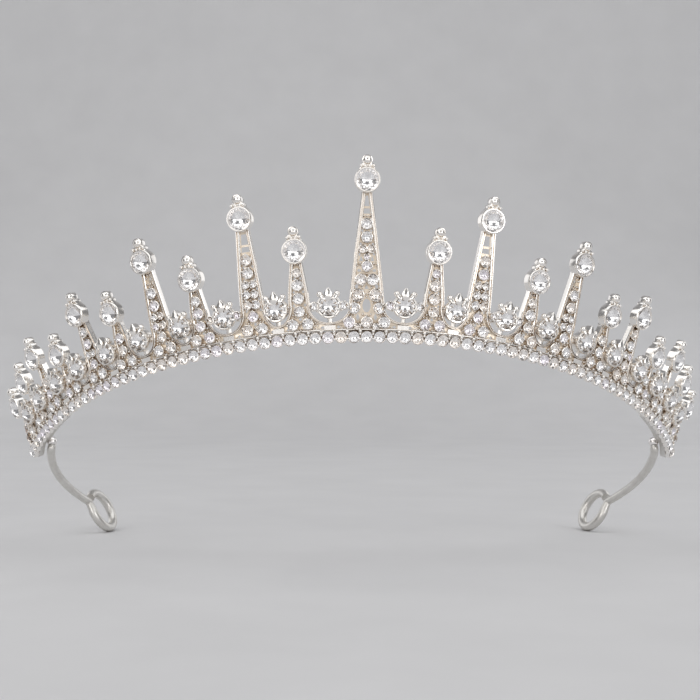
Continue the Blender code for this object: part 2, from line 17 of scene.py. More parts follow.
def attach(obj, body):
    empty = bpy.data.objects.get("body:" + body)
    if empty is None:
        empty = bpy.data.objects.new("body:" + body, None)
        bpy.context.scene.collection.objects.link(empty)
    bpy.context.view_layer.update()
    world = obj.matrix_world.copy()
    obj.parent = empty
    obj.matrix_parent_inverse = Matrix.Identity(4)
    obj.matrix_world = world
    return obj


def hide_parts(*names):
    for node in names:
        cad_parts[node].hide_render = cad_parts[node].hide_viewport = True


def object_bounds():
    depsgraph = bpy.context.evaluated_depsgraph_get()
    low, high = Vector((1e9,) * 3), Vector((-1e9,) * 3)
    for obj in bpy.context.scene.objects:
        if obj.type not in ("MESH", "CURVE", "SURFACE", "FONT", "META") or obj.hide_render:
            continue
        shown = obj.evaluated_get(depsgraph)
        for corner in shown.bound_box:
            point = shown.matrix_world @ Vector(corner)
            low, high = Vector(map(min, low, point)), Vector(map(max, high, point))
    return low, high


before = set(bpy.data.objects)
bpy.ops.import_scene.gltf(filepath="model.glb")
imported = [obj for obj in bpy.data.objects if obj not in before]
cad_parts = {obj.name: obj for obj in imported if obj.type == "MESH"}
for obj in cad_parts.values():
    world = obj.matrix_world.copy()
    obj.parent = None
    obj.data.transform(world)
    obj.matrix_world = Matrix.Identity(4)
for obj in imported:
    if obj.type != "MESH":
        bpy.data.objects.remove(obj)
CAD_LOW, CAD_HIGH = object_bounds()
chance = random.Random(21)

# The head circle and the lean of the front, as in the solids
BAND_RADIUS = 0.0730
FLARE = radians(29.0)
TILT = radians(29.0)
SIN_F = sin(FLARE)
COS_F = cos(FLARE)
WORN = Matrix.Rotation(-TILT, 4, "X")

# Bottom row and rail
ROW_PITCH = 0.0024
ROW_RADIUS = 0.0012
ROW_LOW = -0.00055
ROW_DEPTH = 0.00105
ROW_STONE = 0.00107
ROW_GIRDLE = -0.00008
ROW_GRAINS = ((-0.00030, 0.00022), (0.00058, 0.00026), (0.00112, 0.00036))
ROW_GRAIN_FRONT = -0.00014
LAST_STONE = 1.18
LAST_SHIFT = 0.0002
RAIL_LOW = -0.0003
RAIL_HEIGHT = 0.0021
RAIL_FRONT = -0.0012
RAIL_BACK = -0.0026
RAIL_TAB = 0.0008
RAIL_EASE = 0.00055
RAIL_SOFT = 0.00016
RAIL_TIP_SOFT = 0.4
RAIL_STEPS = 160
TAB_HALF = 0.0015
TAB_EXTRA = 0.0010
TAB_RUN = 0.0045
TAB_STEPS = 9
PANEL_FOOT = 0.00195

# Spires
FIRST_STEP = 0.0122
STEP_TO_TALL = 0.00855
STEP_TO_TALL_LOSS = 0.00025
STEP_TO_SHORT = 0.01035
STEP_TO_SHORT_LOSS = 0.0010
END_LENGTH = 0.0047
TALL_HEIGHTS = (0.0299, 0.0243, 0.0207, 0.0163, 0.0141, 0.0099)
SHORT_HEIGHTS = (0.0171, 0.0149, 0.0134, 0.0112, 0.0120)
LAST_SPIRE = 10
NECK_HALF = 0.00102
NECK_DROP = 0.00025
MIDDLE_SHOULDER_HALF = 0.0034
TALL_SHOULDER_HALF = 0.00215
SHORT_SHOULDER_HALF = 0.00195
SHOULDER_RUN = 0.006
SHOULDER_HEIGHT = 0.0082
LEAST_RUN = 0.0004
SLIM_SHARE = 0.45
RUN_SHARE = 0.55
NECK_EXTRA = 0.00024
NECK_EXTRA_TALL = 0.00036
WIDER = {0: 0.0, 1: 0.00017, 2: 0.00036, 4: 0.00020}
WIDER_ELSE = 0.00012
FLANK_EASE = 9.0
FLANK_STEPS = 14
BAR_WIDTH = 0.00074
BAR_FRONT = -0.0005
BAR_BACK = -0.0017
BAR_SOFT = 0.00011
BAR_UNDER_BEZEL = 0.0007
GROOVE = 0.00028
GROOVE_EDGE = 0.42
GROOVE_FLOOR = 0.15
WEB_FRONT = -0.00118
WEB_BACK = -0.0016
FOOT_STEPS = 14
SILL_HALF = 0.00018
SILL_FRONT = -0.00095
SILL_SOFT = 0.00007
SILL_STEP = 0.001
SEAM_GAP = 0.0004
TAIL_DROP = 0.0006
TAIL = ((0.42, 0.56), (0.62, 0.40), (0.80, 0.22), (0.93, 0.02))
TAIL_STONES = ((0.30, 0.0050, 0.00085), (0.52, 0.0033, 0.00090))
TAIL_SILL = 0.95

# Large stones and their settings
FINIAL_STONE = 0.00208
BEZEL_RADIUS = 0.00246
BEZEL_SEAT = 0.00214
BEZEL_FRONT = 0.0008
BEZEL_BACK = -0.0013
FINIAL_FRONT = 0.00030
FINIAL_BACK = -0.00125
FINIAL_SOFT = 0.00014
FINIAL_FOOT = ((0.00132, 0.00232), (0.00137, 0.00262), (0.00126, 0.00292), (0.00092, 0.00312))
FINIAL_TOP = 0.00370
FINIAL_TOP_RADIUS = 0.00100
FINIAL_UNDER = 0.00215
FINIAL_BALL = (0.0, 0.00366, FINIAL_FRONT - 0.00049, 0.00099)
FINIAL_BEADS = ((-0.00118, 0.00258), (-0.00042, 0.00250), (0.00042, 0.00250), (0.00118, 0.00258))
FINIAL_BEAD_FRONT = FINIAL_FRONT + 0.00008
FINIAL_BEAD = 0.00034
SCALLOP_STONE = 0.0018
SCALLOP_HEIGHT = 0.00655
CROWN_RADIUS = 0.00232
CROWN_SEAT = 0.00192
CROWN_FRONT = 0.0007
CROWN_BACK = -0.0018
CROWN_ARM_TURN = 36
CROWN_PRONG_TURNS = (76, 112, 150)
CROWN_BALL_REACH = 0.00276
CROWN_BALL_FRONT = 0.00030
CROWN_BALL = 0.00060
RIDGE_DROP = 0.3
RIDGE_FACE = 0.6
BOWL_DEPTH = 0.00325
BOWL_SLIM = 0.55
BOWL_EASE = 0.7
BOWL_STEPS = 24
HALF_BOWL = BOWL_STEPS // 2
POSTS = ((180, 0.0031, 0.0004), (112, 0.0026, 0.00022), (-112, 0.0026, 0.00022))
POST_START = CROWN_RADIUS - 0.0002
POST_FRONT = -0.0010
POST_BACK = CROWN_BACK + 0.0001
PLATE_HEIGHT = 0.00253
PLATE_LENGTH = 0.00105
PLATE_HALF = 0.00052
PLATE_FRONT = BAR_FRONT - 0.00012
PLATE_SOFT = 0.0001
SIDE_STONE = 0.00074
SIDE_STONE_PROUD = 0.0007
SIDE_STONE_EASE = 0.00018
SIDE_STONE_GAP = 0.00008
SIDE_GRAIN = 0.00032
SIDE_GRAIN_GAP = 0.00005
SIDE_GRAIN_RISE = 0.0002
SIDE_GRAIN_FRONT = 0.0003
STONE_GIRDLE = 0.00006
STONE_PROUD = 0.62

# Cuts of the stones as shares of their radius: crown, table, stars, and the break of the
# pavilion, from a search for cuts that show few dark facets from the front
BELT = 0.02
LARGE_CUT = {
    "crown": 0.405, "table": 0.506, "star": 0.814, "star_rise": 0.557, "back": 0.566, "back_drop": 0.508,
}
SMALL_CUT = {
    "crown": 0.397, "table": 0.538, "star": 0.760, "star_rise": 0.615, "back": 0.352, "back_drop": 0.609,
}
STONE_CROWN = LARGE_CUT["crown"]
STONE_PAVILION = 0.784
SMALL_PAVILION = 0.811
LARGE_FOLDS = 8
SMALL_FOLDS = 6

# Small stones of the spires and the gallery
PAVE_FRONT = -0.00025
PAVE_BACK = -0.00165
PAVE_DEEP = 0.00080
PAVE_WALL = 0.00016
PAVE_STONE = 0.00098
PAVE_GRAINS = 4
PAVE_GRAIN = 0.0002
PAVE_GRAIN_REACH = 0.00006
PAVE_GRAIN_FRONT = PAVE_FRONT + 0.00002
PAIR_STONE = 0.00082
PAIR_ROOM = 0.00138
LEAST_STONE = 0.00042
GALLERY_ROW = 0.0034
SECOND_ROW = 0.00585
SECOND_STONE = 0.00092
PAVE_GAP = 0.00022
LEAN = 0.13
ROOM_AHEAD = 0.0009
PAIR_EASE = 0.0001
PAIR_GAP = 0.00009
PAIR_GRAIN = 0.00026
FLANK_GRAIN = 0.00022
GRAIN_ROOM = 0.0004

# Openings of a web: holes as (width, height, corners), the foot's with its place up the front first
OPEN_RUN = 0.0105
OPENINGS = ((0.0020, 0.0002), (0.0010, 0.0004))
OPEN_OVER = 0.0001
OPEN_UNDER = 0.0002
OPEN_TOP = 1.10
OPEN_FOOT = 1.05
OPEN_LEAST = 0.00006
PIT = (0.00054, 0.00072, 4)
PIT_ROOM = 0.00075
PIT_INSET = 0.00030
HOLED_SPIRE = 4
HOLE = (0.0006, 0.0007, 8)
HOLE_DROP = 0.0008
HOLE_ROOM = 0.0013
FOOT_HOLE = 0.00150
FOOT_PIT = (0.00262, 0.0009, 0.0006, 4)

# Fine grains that cover what is left bare of a web
FILL_STEP = 0.00058
FILL_GRAIN = 0.00022
FILL_FRONT = -0.00082
FILL_BACK = WEB_FRONT - 0.0001
FILL_START = 0.8
FILL_FROM_STONE = 0.00010
FILL_FROM_EDGE = 0.00046
FILL_FROM_HOLE = 0.00028
FILL_FROM_PLATE = (0.00125, 0.00068)

# Arms
WIRE_RADIUS = 0.00088
WIRE_SIDES = 18
PIN_RADIUS = 0.00062
PIN_FIT = 0.00010
PIN_RISE = 0.30
PIN_SHOULDER = ((0.0, PIN_RADIUS), (0.00007, PIN_RADIUS), (0.00012, 0.93 * WIRE_RADIUS))
BEAD_RADIUS = 0.0011
BEAD_HEIGHT = 0.0017
BEAD_CENTRE = 0.0021
BORE_TIP = 0.62
BORE_TOP = 0.58
WIRE_DROP = 0.00025
PIVOT_INSET = 0.0052
ARM_TOE = radians(11.2)
ARM_TURN = 1.1
ARM_TURN_STEPS = 6
ARM_BEND_RADIUS = 0.043
ARM_LENGTH = 0.0283
ARM_STEPS = 30
LOOP_REACH = 0.0050
LOOP_RADIUS = 0.0044
LOOP_LEAN = 0.30
LOOP_WIRE = 1.15
LOOP_SAG = 0.0003
LOOP_END_SHARE = 0.85
LOOP_END = ((0.5, 1.0), (0.96, 1.0), (1.0, 0.86))
LOOP_NECK_BEFORE = 0.4
LOOP_NECK_AFTER = 0.3
LOOP_NECK_TAPER = 0.65
LOOP_NECK_STEPS = 5
LOOP_STEPS = 40
ROOT_LENGTH = 0.0140
ROOT_GAP = 0.0004
ROOT_RADIUS = 0.00055
ROOT_RISE = 0.55
ROOT_SINK = 0.7
ROOT_TIP = 0.8
ROOT_STEPS = 24
SEAT_GAP = 0.00015

# Facets of the round forms, and the angle from which an edge is sharp
BEAD_ROWS, BEAD_SIDES = 6, 10
DOME_SIDES = 16
DOME_TURNS = (20, 42, 64)
DOME_WALL = 0.35
BEZEL_SIDES = 40
CROWN_SIDES = 36
COLLET_SIDES = 18
ROW_SIDES = 20
LINK_SIDES = 8
BALL_ROWS, BALL_SIDES = 12, 24
SHARP = radians(38.0)

# Places of the looks in a piece of metal, the web's look being the darker plate with painted shade, and of
# the foil in a piece of stones
METAL, SEAT, WEB = 0, 1, 2
LARGE_FOIL = 1
SMALL_FOIL = 3


def radius_at(height):
    """Radius of the front's face at a height up the lean."""
    return BAND_RADIUS + height * SIN_F


def on_cone(angle, height, depth):
    """A point of the front from its angle, its height up the lean and its depth."""
    radius = radius_at(height) + depth * COS_F
    ring = Vector((radius * sin(angle), -radius * cos(angle), height * COS_F - depth * SIN_F))
    return WORN @ ring


def frame_at(angle, height=0.0, depth=0.0):
    """Axes on the front: X along the band, Y up the lean, Z out of the face."""
    radial = Vector((sin(angle), -cos(angle), 0))
    along = Vector((cos(angle), sin(angle), 0))
    up = radial * SIN_F + Vector((0, 0, COS_F))
    out = radial * COS_F - Vector((0, 0, SIN_F))
    place = WORN @ Matrix((along, up, out)).transposed().to_4x4()
    place.translation = on_cone(angle, height, depth)
    return place


def spire_arcs():
    """Arc of each spire on one side, from the middle one outwards."""
    arcs = [0.0, FIRST_STEP]
    to_tall = STEP_TO_TALL
    to_short = STEP_TO_SHORT
    for number in range(2, LAST_SPIRE + 1):
        if number % 2 == 0:
            arcs.append(arcs[-1] + to_tall)
            to_tall -= STEP_TO_TALL_LOSS
        else:
            arcs.append(arcs[-1] + to_short)
            to_short -= STEP_TO_SHORT_LOSS
    return arcs


class Spire:
    """A spire's arc, the height of its stone, the ends of its flanks and its half width there."""

    def __init__(self, number, arc):
        tall = number % 2 == 0
        self.arc = arc
        self.angle = arc / BAND_RADIUS
        self.height = (TALL_HEIGHTS if tall else SHORT_HEIGHTS)[number // 2]
        self.neck = self.height - math.sqrt(BEZEL_RADIUS ** 2 - NECK_HALF ** 2) - NECK_DROP
        self.shoulder = min(SHOULDER_HEIGHT, self.neck - LEAST_RUN)
        self.run = self.neck - self.shoulder
        self.top = NECK_HALF
        wide = MIDDLE_SHOULDER_HALF
        if number:
            self.top += NECK_EXTRA_TALL if tall else NECK_EXTRA
            wide = TALL_SHOULDER_HALF if tall else SHORT_SHOULDER_HALF
        share = SLIM_SHARE + RUN_SHARE * min(1.0, max(0.0, self.run / SHOULDER_RUN))
        self.half = NECK_HALF + (wide - NECK_HALF) * share
        self.broad = self.half + WIDER.get(number, WIDER_ELSE)

    def half_at(self, height):
        """Half width at a height: a straight taper that eases into the shoulder."""
        share = (self.neck - height) / self.run
        eased = -math.log(math.exp(-FLANK_EASE * share) + math.exp(-FLANK_EASE)) / FLANK_EASE
        return self.top + (self.broad - self.top) * max(0.0, eased)

    def aside(self, across, height):
        """The angle of a point that lies a true distance across from the spire at some height."""
        return self.angle + across / radius_at(height)

    def seat(self, sign, across, height):
        """Axes on the front at such a point."""
        return frame_at(sign * self.aside(across, height), height)

    def pit(self, across, height, wide, tall, corners):
        """A hole's outline as (angle, height) corners."""
        loop = []
        for step in range(corners):
            angle = 0.5 * pi + 2 * pi * step / corners
            y = height + 0.5 * tall * sin(angle)
            loop.append((self.aside(across + 0.5 * wide * cos(angle), y), y))
        return loop

    def flank(self, side, low=SCALLOP_HEIGHT):
        """Centre line of a side bar from the neck down to a height."""
        route = []
        top = self.neck + BAR_UNDER_BEZEL
        for step in range(FLANK_STEPS + 1):
            height = top + (low - top) * step / FLANK_STEPS
            across = self.half_at(min(height, self.neck)) - 0.5 * BAR_WIDTH
            route.append((self.aside(side * across, height), height))
        return route


SPIRES = [Spire(number, arc) for number, arc in enumerate(spire_arcs())]
ROW_PER_SIDE = int((SPIRES[-1].arc + END_LENGTH) / ROW_PITCH)
RAIL_HALF = (ROW_PER_SIDE + 0.5) * ROW_PITCH + RAIL_TAB


def add(name, data):
    """A new object in the scene."""
    made = bpy.data.objects.new(name, data)
    bpy.context.scene.collection.objects.link(made)
    return made


class Piece:
    """Closed shells gathered into one mesh, each face with its own look and shading."""

    def __init__(self, name, *materials):
        self.name = name
        self.materials = materials
        self.points = []
        self.faces = []
        self.looks = []
        self.smooth = []

    def shell(self, points, faces, looks, smooth):
        base = len(self.points)
        self.points += [tuple(point) for point in points]
        self.faces += [[base + corner for corner in face] for face in faces]
        self.looks += looks
        self.smooth += smooth

    def make(self, body, slot, *nodes):
        mesh = bpy.data.meshes.new(self.name)
        mesh.from_pydata(self.points, [], self.faces)
        mesh.polygons.foreach_set("material_index", self.looks)
        mesh.polygons.foreach_set("use_smooth", self.smooth)
        work = bmesh.new()
        work.from_mesh(mesh)
        bmesh.ops.recalc_face_normals(work, faces=work.faces)
        work.to_mesh(mesh)
        work.free()
        mesh.set_sharp_from_angle(angle=SHARP)
        for material in self.materials:
            mesh.materials.append(material)
        made = add(self.name, mesh)
        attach(made, body)
        if nodes:
            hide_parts(*nodes)


def loft(piece, loops, looks=None):
    """A closed skin through loops of the same count, one look to a row; a loop of one point is a tip."""
    looks = looks or [METAL] * len(loops)
    points = []
    starts = []
    for loop in loops:
        starts.append(len(points))
        points += loop
    faces = []
    skins = []
    for row in range(len(loops) - 1):
        near = loops[row]
        far = loops[row + 1]
        count = max(len(near), len(far))
        for step in range(count):
            after = (step + 1) % count
            low = [starts[row]] if len(near) == 1 else [starts[row] + step, starts[row] + after]
            high = [starts[row + 1]] if len(far) == 1 else [starts[row + 1] + after, starts[row + 1] + step]
            faces.append(low + high)
        skins += [looks[row]] * count
    smooth = [True] * len(faces)
    for end in (0, len(loops) - 1):
        if len(loops[end]) > 1:
            faces.append([starts[end] + step for step in range(len(loops[end]))])
            skins.append(looks[0])
            smooth.append(False)
    piece.shell(points, faces, skins, smooth)


def circle(place, radius, depth, count, turn=0.0, x=0.0, y=0.0):
    """Points round the Z axis of a place, moved across by x and y; one point where the radius is 0."""
    if radius == 0.0:
        return [place @ Vector((x, y, depth))]
    turns = [turn + 2 * pi * step / count for step in range(count)]
    return [place @ Vector((x + radius * cos(angle), y + radius * sin(angle), depth)) for angle in turns]


def lathe(piece, place, profile, count, looks=None, x=0.0, y=0.0):
    """A round body about the Z axis of a place, moved across by x and y, from (radius, depth) corners."""
    loft(piece, [circle(place, radius, depth, count, x=x, y=y) for radius, depth in profile], looks)


def cup(piece, place, profile, count):
    """A round setting whose last face is the mirrored seat of a stone."""
    lathe(piece, place, profile, count, [METAL] * (len(profile) - 2) + [SEAT])


def bead(piece, place, x, y, z, radius):
    """A ball of metal with its middle at x, y and z of a place."""
    profile = []
    for step in range(BEAD_ROWS + 1):
        angle = pi * step / BEAD_ROWS
        wide = radius * sin(angle) if 0 < step < BEAD_ROWS else 0.0
        profile.append((wide, z - radius * cos(angle)))
    lathe(piece, place, profile, BEAD_SIDES, x=x, y=y)


def dome(piece, place, radius, back, front):
    """A stud with a short wall and a round face."""
    rise = front - back
    profile = [(0.0, back), (radius, back)]
    for degrees in DOME_TURNS:
        angle = radians(degrees)
        profile.append((radius * cos(angle), back + rise * (DOME_WALL + (1 - DOME_WALL) * sin(angle))))
    profile.append((0.0, front))
    lathe(piece, place, profile, DOME_SIDES)


def gem(piece, place, girdle, radius, cut, pavilion, folds, turn, look, foiled):
    """A round brilliant: table, stars, kites and halves over a faceted back with foil on it."""
    step = 2 * pi / folds

    def ring(share, depth, count, shift):
        return circle(place, radius * share, depth, count, turn + shift * step)

    top = cut["crown"] * radius
    table = ring(cut["table"], girdle + top, folds, 0.0)
    star = ring(cut["star"], girdle + cut["star_rise"] * top, folds, 0.5)
    upper = ring(1.0, girdle, 2 * folds, 0.0)
    low = girdle - BELT * radius
    lower = ring(1.0, low, 2 * folds, 0.0)
    back = ring(cut["back"], low - cut["back_drop"] * pavilion, folds, 0.5)
    tip = [place @ Vector((0.0, 0.0, low - pavilion))]
    points = table + star + upper + lower + back + tip
    # First point of the table, stars, upper and lower girdle, back and tip
    t, s, u = 0, folds, 2 * folds
    w, b, c = 4 * folds, 6 * folds, 7 * folds
    faces = [[t + k for k in range(folds)]]
    looks = [look] + ([look] * 4 + [foiled] * 5) * folds
    for k in range(folds):
        after = (k + 1) % folds
        before = (k - 1) % folds
        odd = 2 * k + 1
        far = (2 * k + 2) % (2 * folds)
        faces.append([t + k, t + after, s + k])
        faces.append([t + k, s + k, u + 2 * k, s + before])
        faces.append([s + k, u + odd, u + 2 * k])
        faces.append([s + k, u + far, u + odd])
        faces.append([u + 2 * k, u + odd, w + odd, w + 2 * k])
        faces.append([u + odd, u + far, w + far, w + odd])
        faces.append([c, b + before, w + 2 * k, b + k])
        faces.append([b + k, w + 2 * k, w + odd])
        faces.append([b + k, w + odd, w + far])
    piece.shell(points, faces, looks, [False] * len(faces))


def strip(piece, route, section, slim=None):
    """A cast bar along a route of (angle, height) points, with a section of (across, depth) corners."""
    loops = []
    for number, (angle, height) in enumerate(route):
        before = route[max(number - 1, 0)]
        after = route[min(number + 1, len(route) - 1)]
        radius = radius_at(height)
        along = (after[0] - before[0]) * radius
        rise = after[1] - before[1]
        length = math.hypot(along, rise)
        side = (-rise / length, along / length)
        share = slim[number] if slim else 1.0
        reached = [(across * share, depth) for across, depth in section]
        loops.append([
            on_cone(angle + side[0] * reach / radius, height + side[1] * reach, depth)
            for reach, depth in reached
        ])
    loft(piece, loops)


def bar_section(half, front, back, bevel, groove=0.0):
    """Corners of a bar: rounded edges, and a groove along the middle of its face."""
    right = [(half - bevel, back), (half, back + bevel), (half, front - bevel), (half - bevel, front)]
    middle = []
    if groove:
        middle = [(GROOVE_EDGE * half, front), (GROOVE_FLOOR * half, front - groove)]
        middle += [(-across, depth) for across, depth in reversed(middle)]
    left = [(-across, depth) for across, depth in reversed(right)]
    return right + middle + left


def sheet(piece, loops, front, back):
    """A plate between loops of (angle, height) corners: its outline first, then its holes."""
    in_mm = 1000
    flat = [[Vector((angle * BAND_RADIUS, height, 0)) * in_mm for angle, height in loop] for loop in loops]
    corners = [corner for loop in loops for corner in loop]
    count = len(corners)
    points = [on_cone(angle, height, depth) for depth in (front, back) for angle, height in corners]
    faces = []
    for triangle in tessellate_polygon(flat):
        faces.append(list(triangle))
        faces.append([count + corner for corner in reversed(triangle)])
    start = 0
    for loop in loops:
        for step in range(len(loop)):
            a = start + step
            b = start + (step + 1) % len(loop)
            faces.append([a, b, count + b, count + a])
        start += len(loop)
    piece.shell(points, faces, [WEB] * len(faces), [False] * len(faces))


# Materials


class Look:
    """A material with nodes of its own round one shader."""

    def __init__(self, name):
        self.material = bpy.data.materials.new(name)
        self.material.use_nodes = True
        self.tree = self.material.node_tree

    def put(self, node, values):
        """Fill inputs of a node, each with a value of its own or with another node's output."""
        for name, value in values.items():
            if isinstance(value, bpy.types.NodeSocket):
                self.tree.links.new(value, node.inputs[name])
            else:
                node.inputs[name].default_value = value

    def node(self, kind, **values):
        """A new node of a kind, with its inputs filled."""
        made = self.tree.nodes.new("ShaderNode" + kind)
        self.put(made, values)
        return made

    def noise(self, scale, detail, stretch=None):
        """Noise over the object's own coordinates, stretched along an axis where asked."""
        place = self.node("TexCoord").outputs["Object"]
        if stretch:
            place = self.node("Mapping", Scale=stretch, Vector=place).outputs["Vector"]
        return self.node("TexNoise", Scale=scale, Detail=detail, Vector=place).outputs["Fac"]

    def ranged(self, value, low=0.0, high=1.0, start=0.3, end=0.7):
        """A value between start and end, spread from low to high."""
        made = self.node("MapRange", Value=value)
        self.put(made, {"From Min": start, "From Max": end, "To Min": low, "To Max": high})
        return made.outputs["Result"]

    def mixed(self, factor, first, second):
        """A mix of two colours, of which the second may come from other nodes."""
        made = self.node("Mix")
        made.data_type = "RGBA"
        second = (*second, 1.0) if isinstance(second, tuple) else second
        self.put(made, {"Factor": factor, "A": (*first, 1.0), "B": second})
        return made.outputs["Result"]

    def patches(self, scale, detail, first, second):
        """Two colours in soft patches."""
        return self.mixed(self.ranged(self.noise(scale, detail)), first, second)

    def done(self, colour, roughness, values):
        """The material, with its shader's inputs filled."""
        shader = self.tree.nodes["Principled BSDF"]
        self.put(shader, {"Base Color": colour, "Roughness": roughness, **values})
        return self.material


def plate(name, bright, toned, tarnish_and_shade, rough, grain, stretch=None):
    """Silver plate: toned in patches, darker and warmer in its hollows from tarnish and from painted shade,
    with a fine cast skin.
    """
    look = Look(name)
    # Ambient occlusion darkens and warms the colour where the surface is hemmed in: painted shade in the
    # hollows, together with their tarnish.
    shade = look.node("AmbientOcclusion", Distance=0.0010)
    shade.samples = 6
    tarnish_and_shade_mask = look.ranged(shade.outputs["AO"], start=0.05, end=0.48)
    colour = look.mixed(tarnish_and_shade_mask, tarnish_and_shade, look.patches(420.0, 3.0, bright, toned))
    worn = look.noise(grain, 4.0, stretch)
    bump = look.node("Bump", Strength=0.22, Distance=0.00004, Height=worn).outputs["Normal"]
    roughness = look.ranged(worn, rough - 0.06, rough + 0.08)
    return look.done(colour, roughness, {"Metallic": 1.0, "Normal": bump})


def crystal(name, tint):
    """Clear glass with faint clouds of a tint."""
    look = Look(name)
    colour = look.patches(700.0, 2.0, (0.995, 0.995, 1.0), tint)
    return look.done(colour, 0.0, {"Transmission Weight": 1.0, "IOR": 1.62})


def foil():
    """Mirror behind a stone."""
    look = Look("mirror_foil")
    colour = look.patches(900.0, 2.0, (0.98, 0.975, 0.97), (0.94, 0.93, 0.925))
    return look.done(colour, 0.05, {"Metallic": 1.0})


# The third colour of each plate is the tarnish and painted shade of its hollows.
CAST = plate("cast_plate", (0.97, 0.95, 0.925), (0.94, 0.905, 0.86), (0.50, 0.40, 0.30), 0.16, 5200.0)
# A darker, warmer copy of the cast plate for the web sunk between the bars: tarnish in part, and in part
# painted shade for the recess.
RECESS_TARNISH_AND_SHADE = plate("recess_tarnish_and_shade_plate", (0.86, 0.77, 0.66), (0.73, 0.63, 0.51), (0.42, 0.33, 0.25), 0.32, 2600.0)
RAIL = plate(
    "rail_plate", (0.74, 0.73, 0.71), (0.66, 0.64, 0.61), (0.40, 0.36, 0.32), 0.32, 2600.0, (1.0, 1.0, 6.0),
)
WIRE = plate("wire_plate", (0.76, 0.75, 0.72), (0.68, 0.66, 0.63), (0.42, 0.39, 0.36), 0.34, 2400.0)
SOLDER = plate("solder_plate", (0.96, 0.94, 0.93), (0.90, 0.87, 0.86), (0.6, 0.55, 0.5), 0.20, 1800.0)
CLEAR = crystal("clear_crystal", (0.975, 0.98, 1.0))
WARM = crystal("warm_crystal", (1.0, 0.92, 0.84))
LILAC = crystal("lilac_crystal", (0.95, 0.90, 1.0))
FOIL = foil()
STONE_LOOKS = (CLEAR, WARM, LILAC, FOIL)
TINTS = (0, 0, 0, 1, 1, 2)


# Settings


def bezel(piece, place):
    """Cup of a finial stone with a mirrored seat."""
    girdle = BEZEL_FRONT - (1 - STONE_PROUD) * STONE_CROWN * FINIAL_STONE
    profile = (
        (0.5 * BEZEL_RADIUS, BEZEL_BACK),
        (BEZEL_RADIUS - 0.00016, BEZEL_BACK),
        (BEZEL_RADIUS, BEZEL_BACK + 0.00016),
        (BEZEL_RADIUS, BEZEL_FRONT - 0.00045),
        (BEZEL_RADIUS - 0.00006, BEZEL_FRONT - 0.00014),
        (BEZEL_RADIUS - 0.00018, BEZEL_FRONT),
        (BEZEL_SEAT + 0.00002, BEZEL_FRONT),
        (BEZEL_SEAT - 0.00014, BEZEL_FRONT - 0.00018),
        (BEZEL_SEAT - 0.00008, girdle - STONE_GIRDLE - 0.00006),
        (0.0, girdle - STONE_GIRDLE - STONE_PAVILION * FINIAL_STONE - 0.00006),
    )
    cup(piece, place, profile, BEZEL_SIDES)


def fan(radius, turns):
    """Points round the middle of a bezel, at degrees from straight up."""
    return [(radius * sin(radians(turn)), radius * cos(radians(turn))) for turn in turns]


def finial_outline():
    """Edge of the plate over a bezel: straight shoulders, a foot for the beads and a round top."""
    right = fan(BEZEL_RADIUS, (62, 56))
    right += FINIAL_FOOT
    for degrees in (-38, -16, 6, 28, 50, 72):
        angle = radians(degrees)
        x = FINIAL_TOP_RADIUS * cos(angle)
        right.append((x, FINIAL_TOP + FINIAL_TOP_RADIUS * sin(angle)))
    left = [(-x, y) for x, y in reversed(right)]
    return right + left + fan(FINIAL_UNDER, (-58, -38, -19, 0, 19, 38, 58))


def inset(outline, amount):
    """An outline moved inwards along its own edges' normals."""
    count = len(outline)
    moved = []
    for step in range(count):
        x0, y0 = outline[step - 1]
        x1, y1 = outline[(step + 1) % count]
        length = math.hypot(x1 - x0, y1 - y0)
        x, y = outline[step]
        moved.append((x - (y1 - y0) / length * amount, y + (x1 - x0) / length * amount))
    return moved


FINIAL_EDGE = finial_outline()


def finial(piece, place):
    """Plate over a bezel, as deep as its cup, with beads on its face."""

    def loop(amount, depth):
        return [place @ Vector((x, y, depth)) for x, y in inset(FINIAL_EDGE, amount)]

    soft = FINIAL_SOFT
    loft(piece, [
        loop(soft, FINIAL_BACK),
        loop(0.3 * soft, FINIAL_BACK + 0.3 * soft),
        loop(0.0, FINIAL_BACK + soft),
        loop(0.0, FINIAL_FRONT - soft),
        loop(0.3 * soft, FINIAL_FRONT - 0.3 * soft),
        loop(soft, FINIAL_FRONT),
    ])
    bead(piece, place, *FINIAL_BALL)
    for x, y in FINIAL_BEADS:
        bead(piece, place, x, y, FINIAL_BEAD_FRONT, FINIAL_BEAD)


def claw(piece, place, angle, stations):
    """A ridged claw over a stone's edge, from (reach, half width, underside, ridge) stations."""
    ahead = Vector((sin(angle), cos(angle), 0))
    side = Vector((cos(angle), -sin(angle), 0))
    loops = []
    for reach, half, low, high in stations:
        shoulder = high - RIDGE_DROP * half
        face = RIDGE_FACE * half
        right = [(half, low), (half, shoulder), (face, high)]
        corners = [(-half, low)] + right + [(-face, high), (-half, shoulder)]
        loops.append([place @ (ahead * reach + side * across + Vector((0, 0, z))) for across, z in corners])
    loft(piece, loops)


# Claws of a crown as (reach, half width, underside, ridge) stations
LEAF = (
    (0.00096, 0.00012, 0.00106, 0.00118),
    (0.00134, 0.00052, 0.00088, 0.00126),
    (0.00186, 0.00080, -0.0006, 0.00128),
    (0.00238, 0.00078, -0.0008, 0.00120),
    (0.00292, 0.00046, -0.0008, 0.00106),
    (0.00338, 0.00014, -0.0004, 0.00090),
)
ARM = (
    (0.00128, 0.00008, 0.00092, 0.00098),
    (0.00160, 0.00028, 0.00070, 0.00106),
    (0.00192, 0.00034, -0.0006, 0.00102),
    (0.00268, 0.00030, -0.0008, 0.00064),
)
PRONG = (
    (0.00142, 0.00006, 0.00080, 0.00086),
    (0.00168, 0.00018, 0.00062, 0.00090),
    (0.00190, 0.00022, -0.0006, 0.00086),
    (0.00232, 0.00018, -0.0008, 0.00040),
)


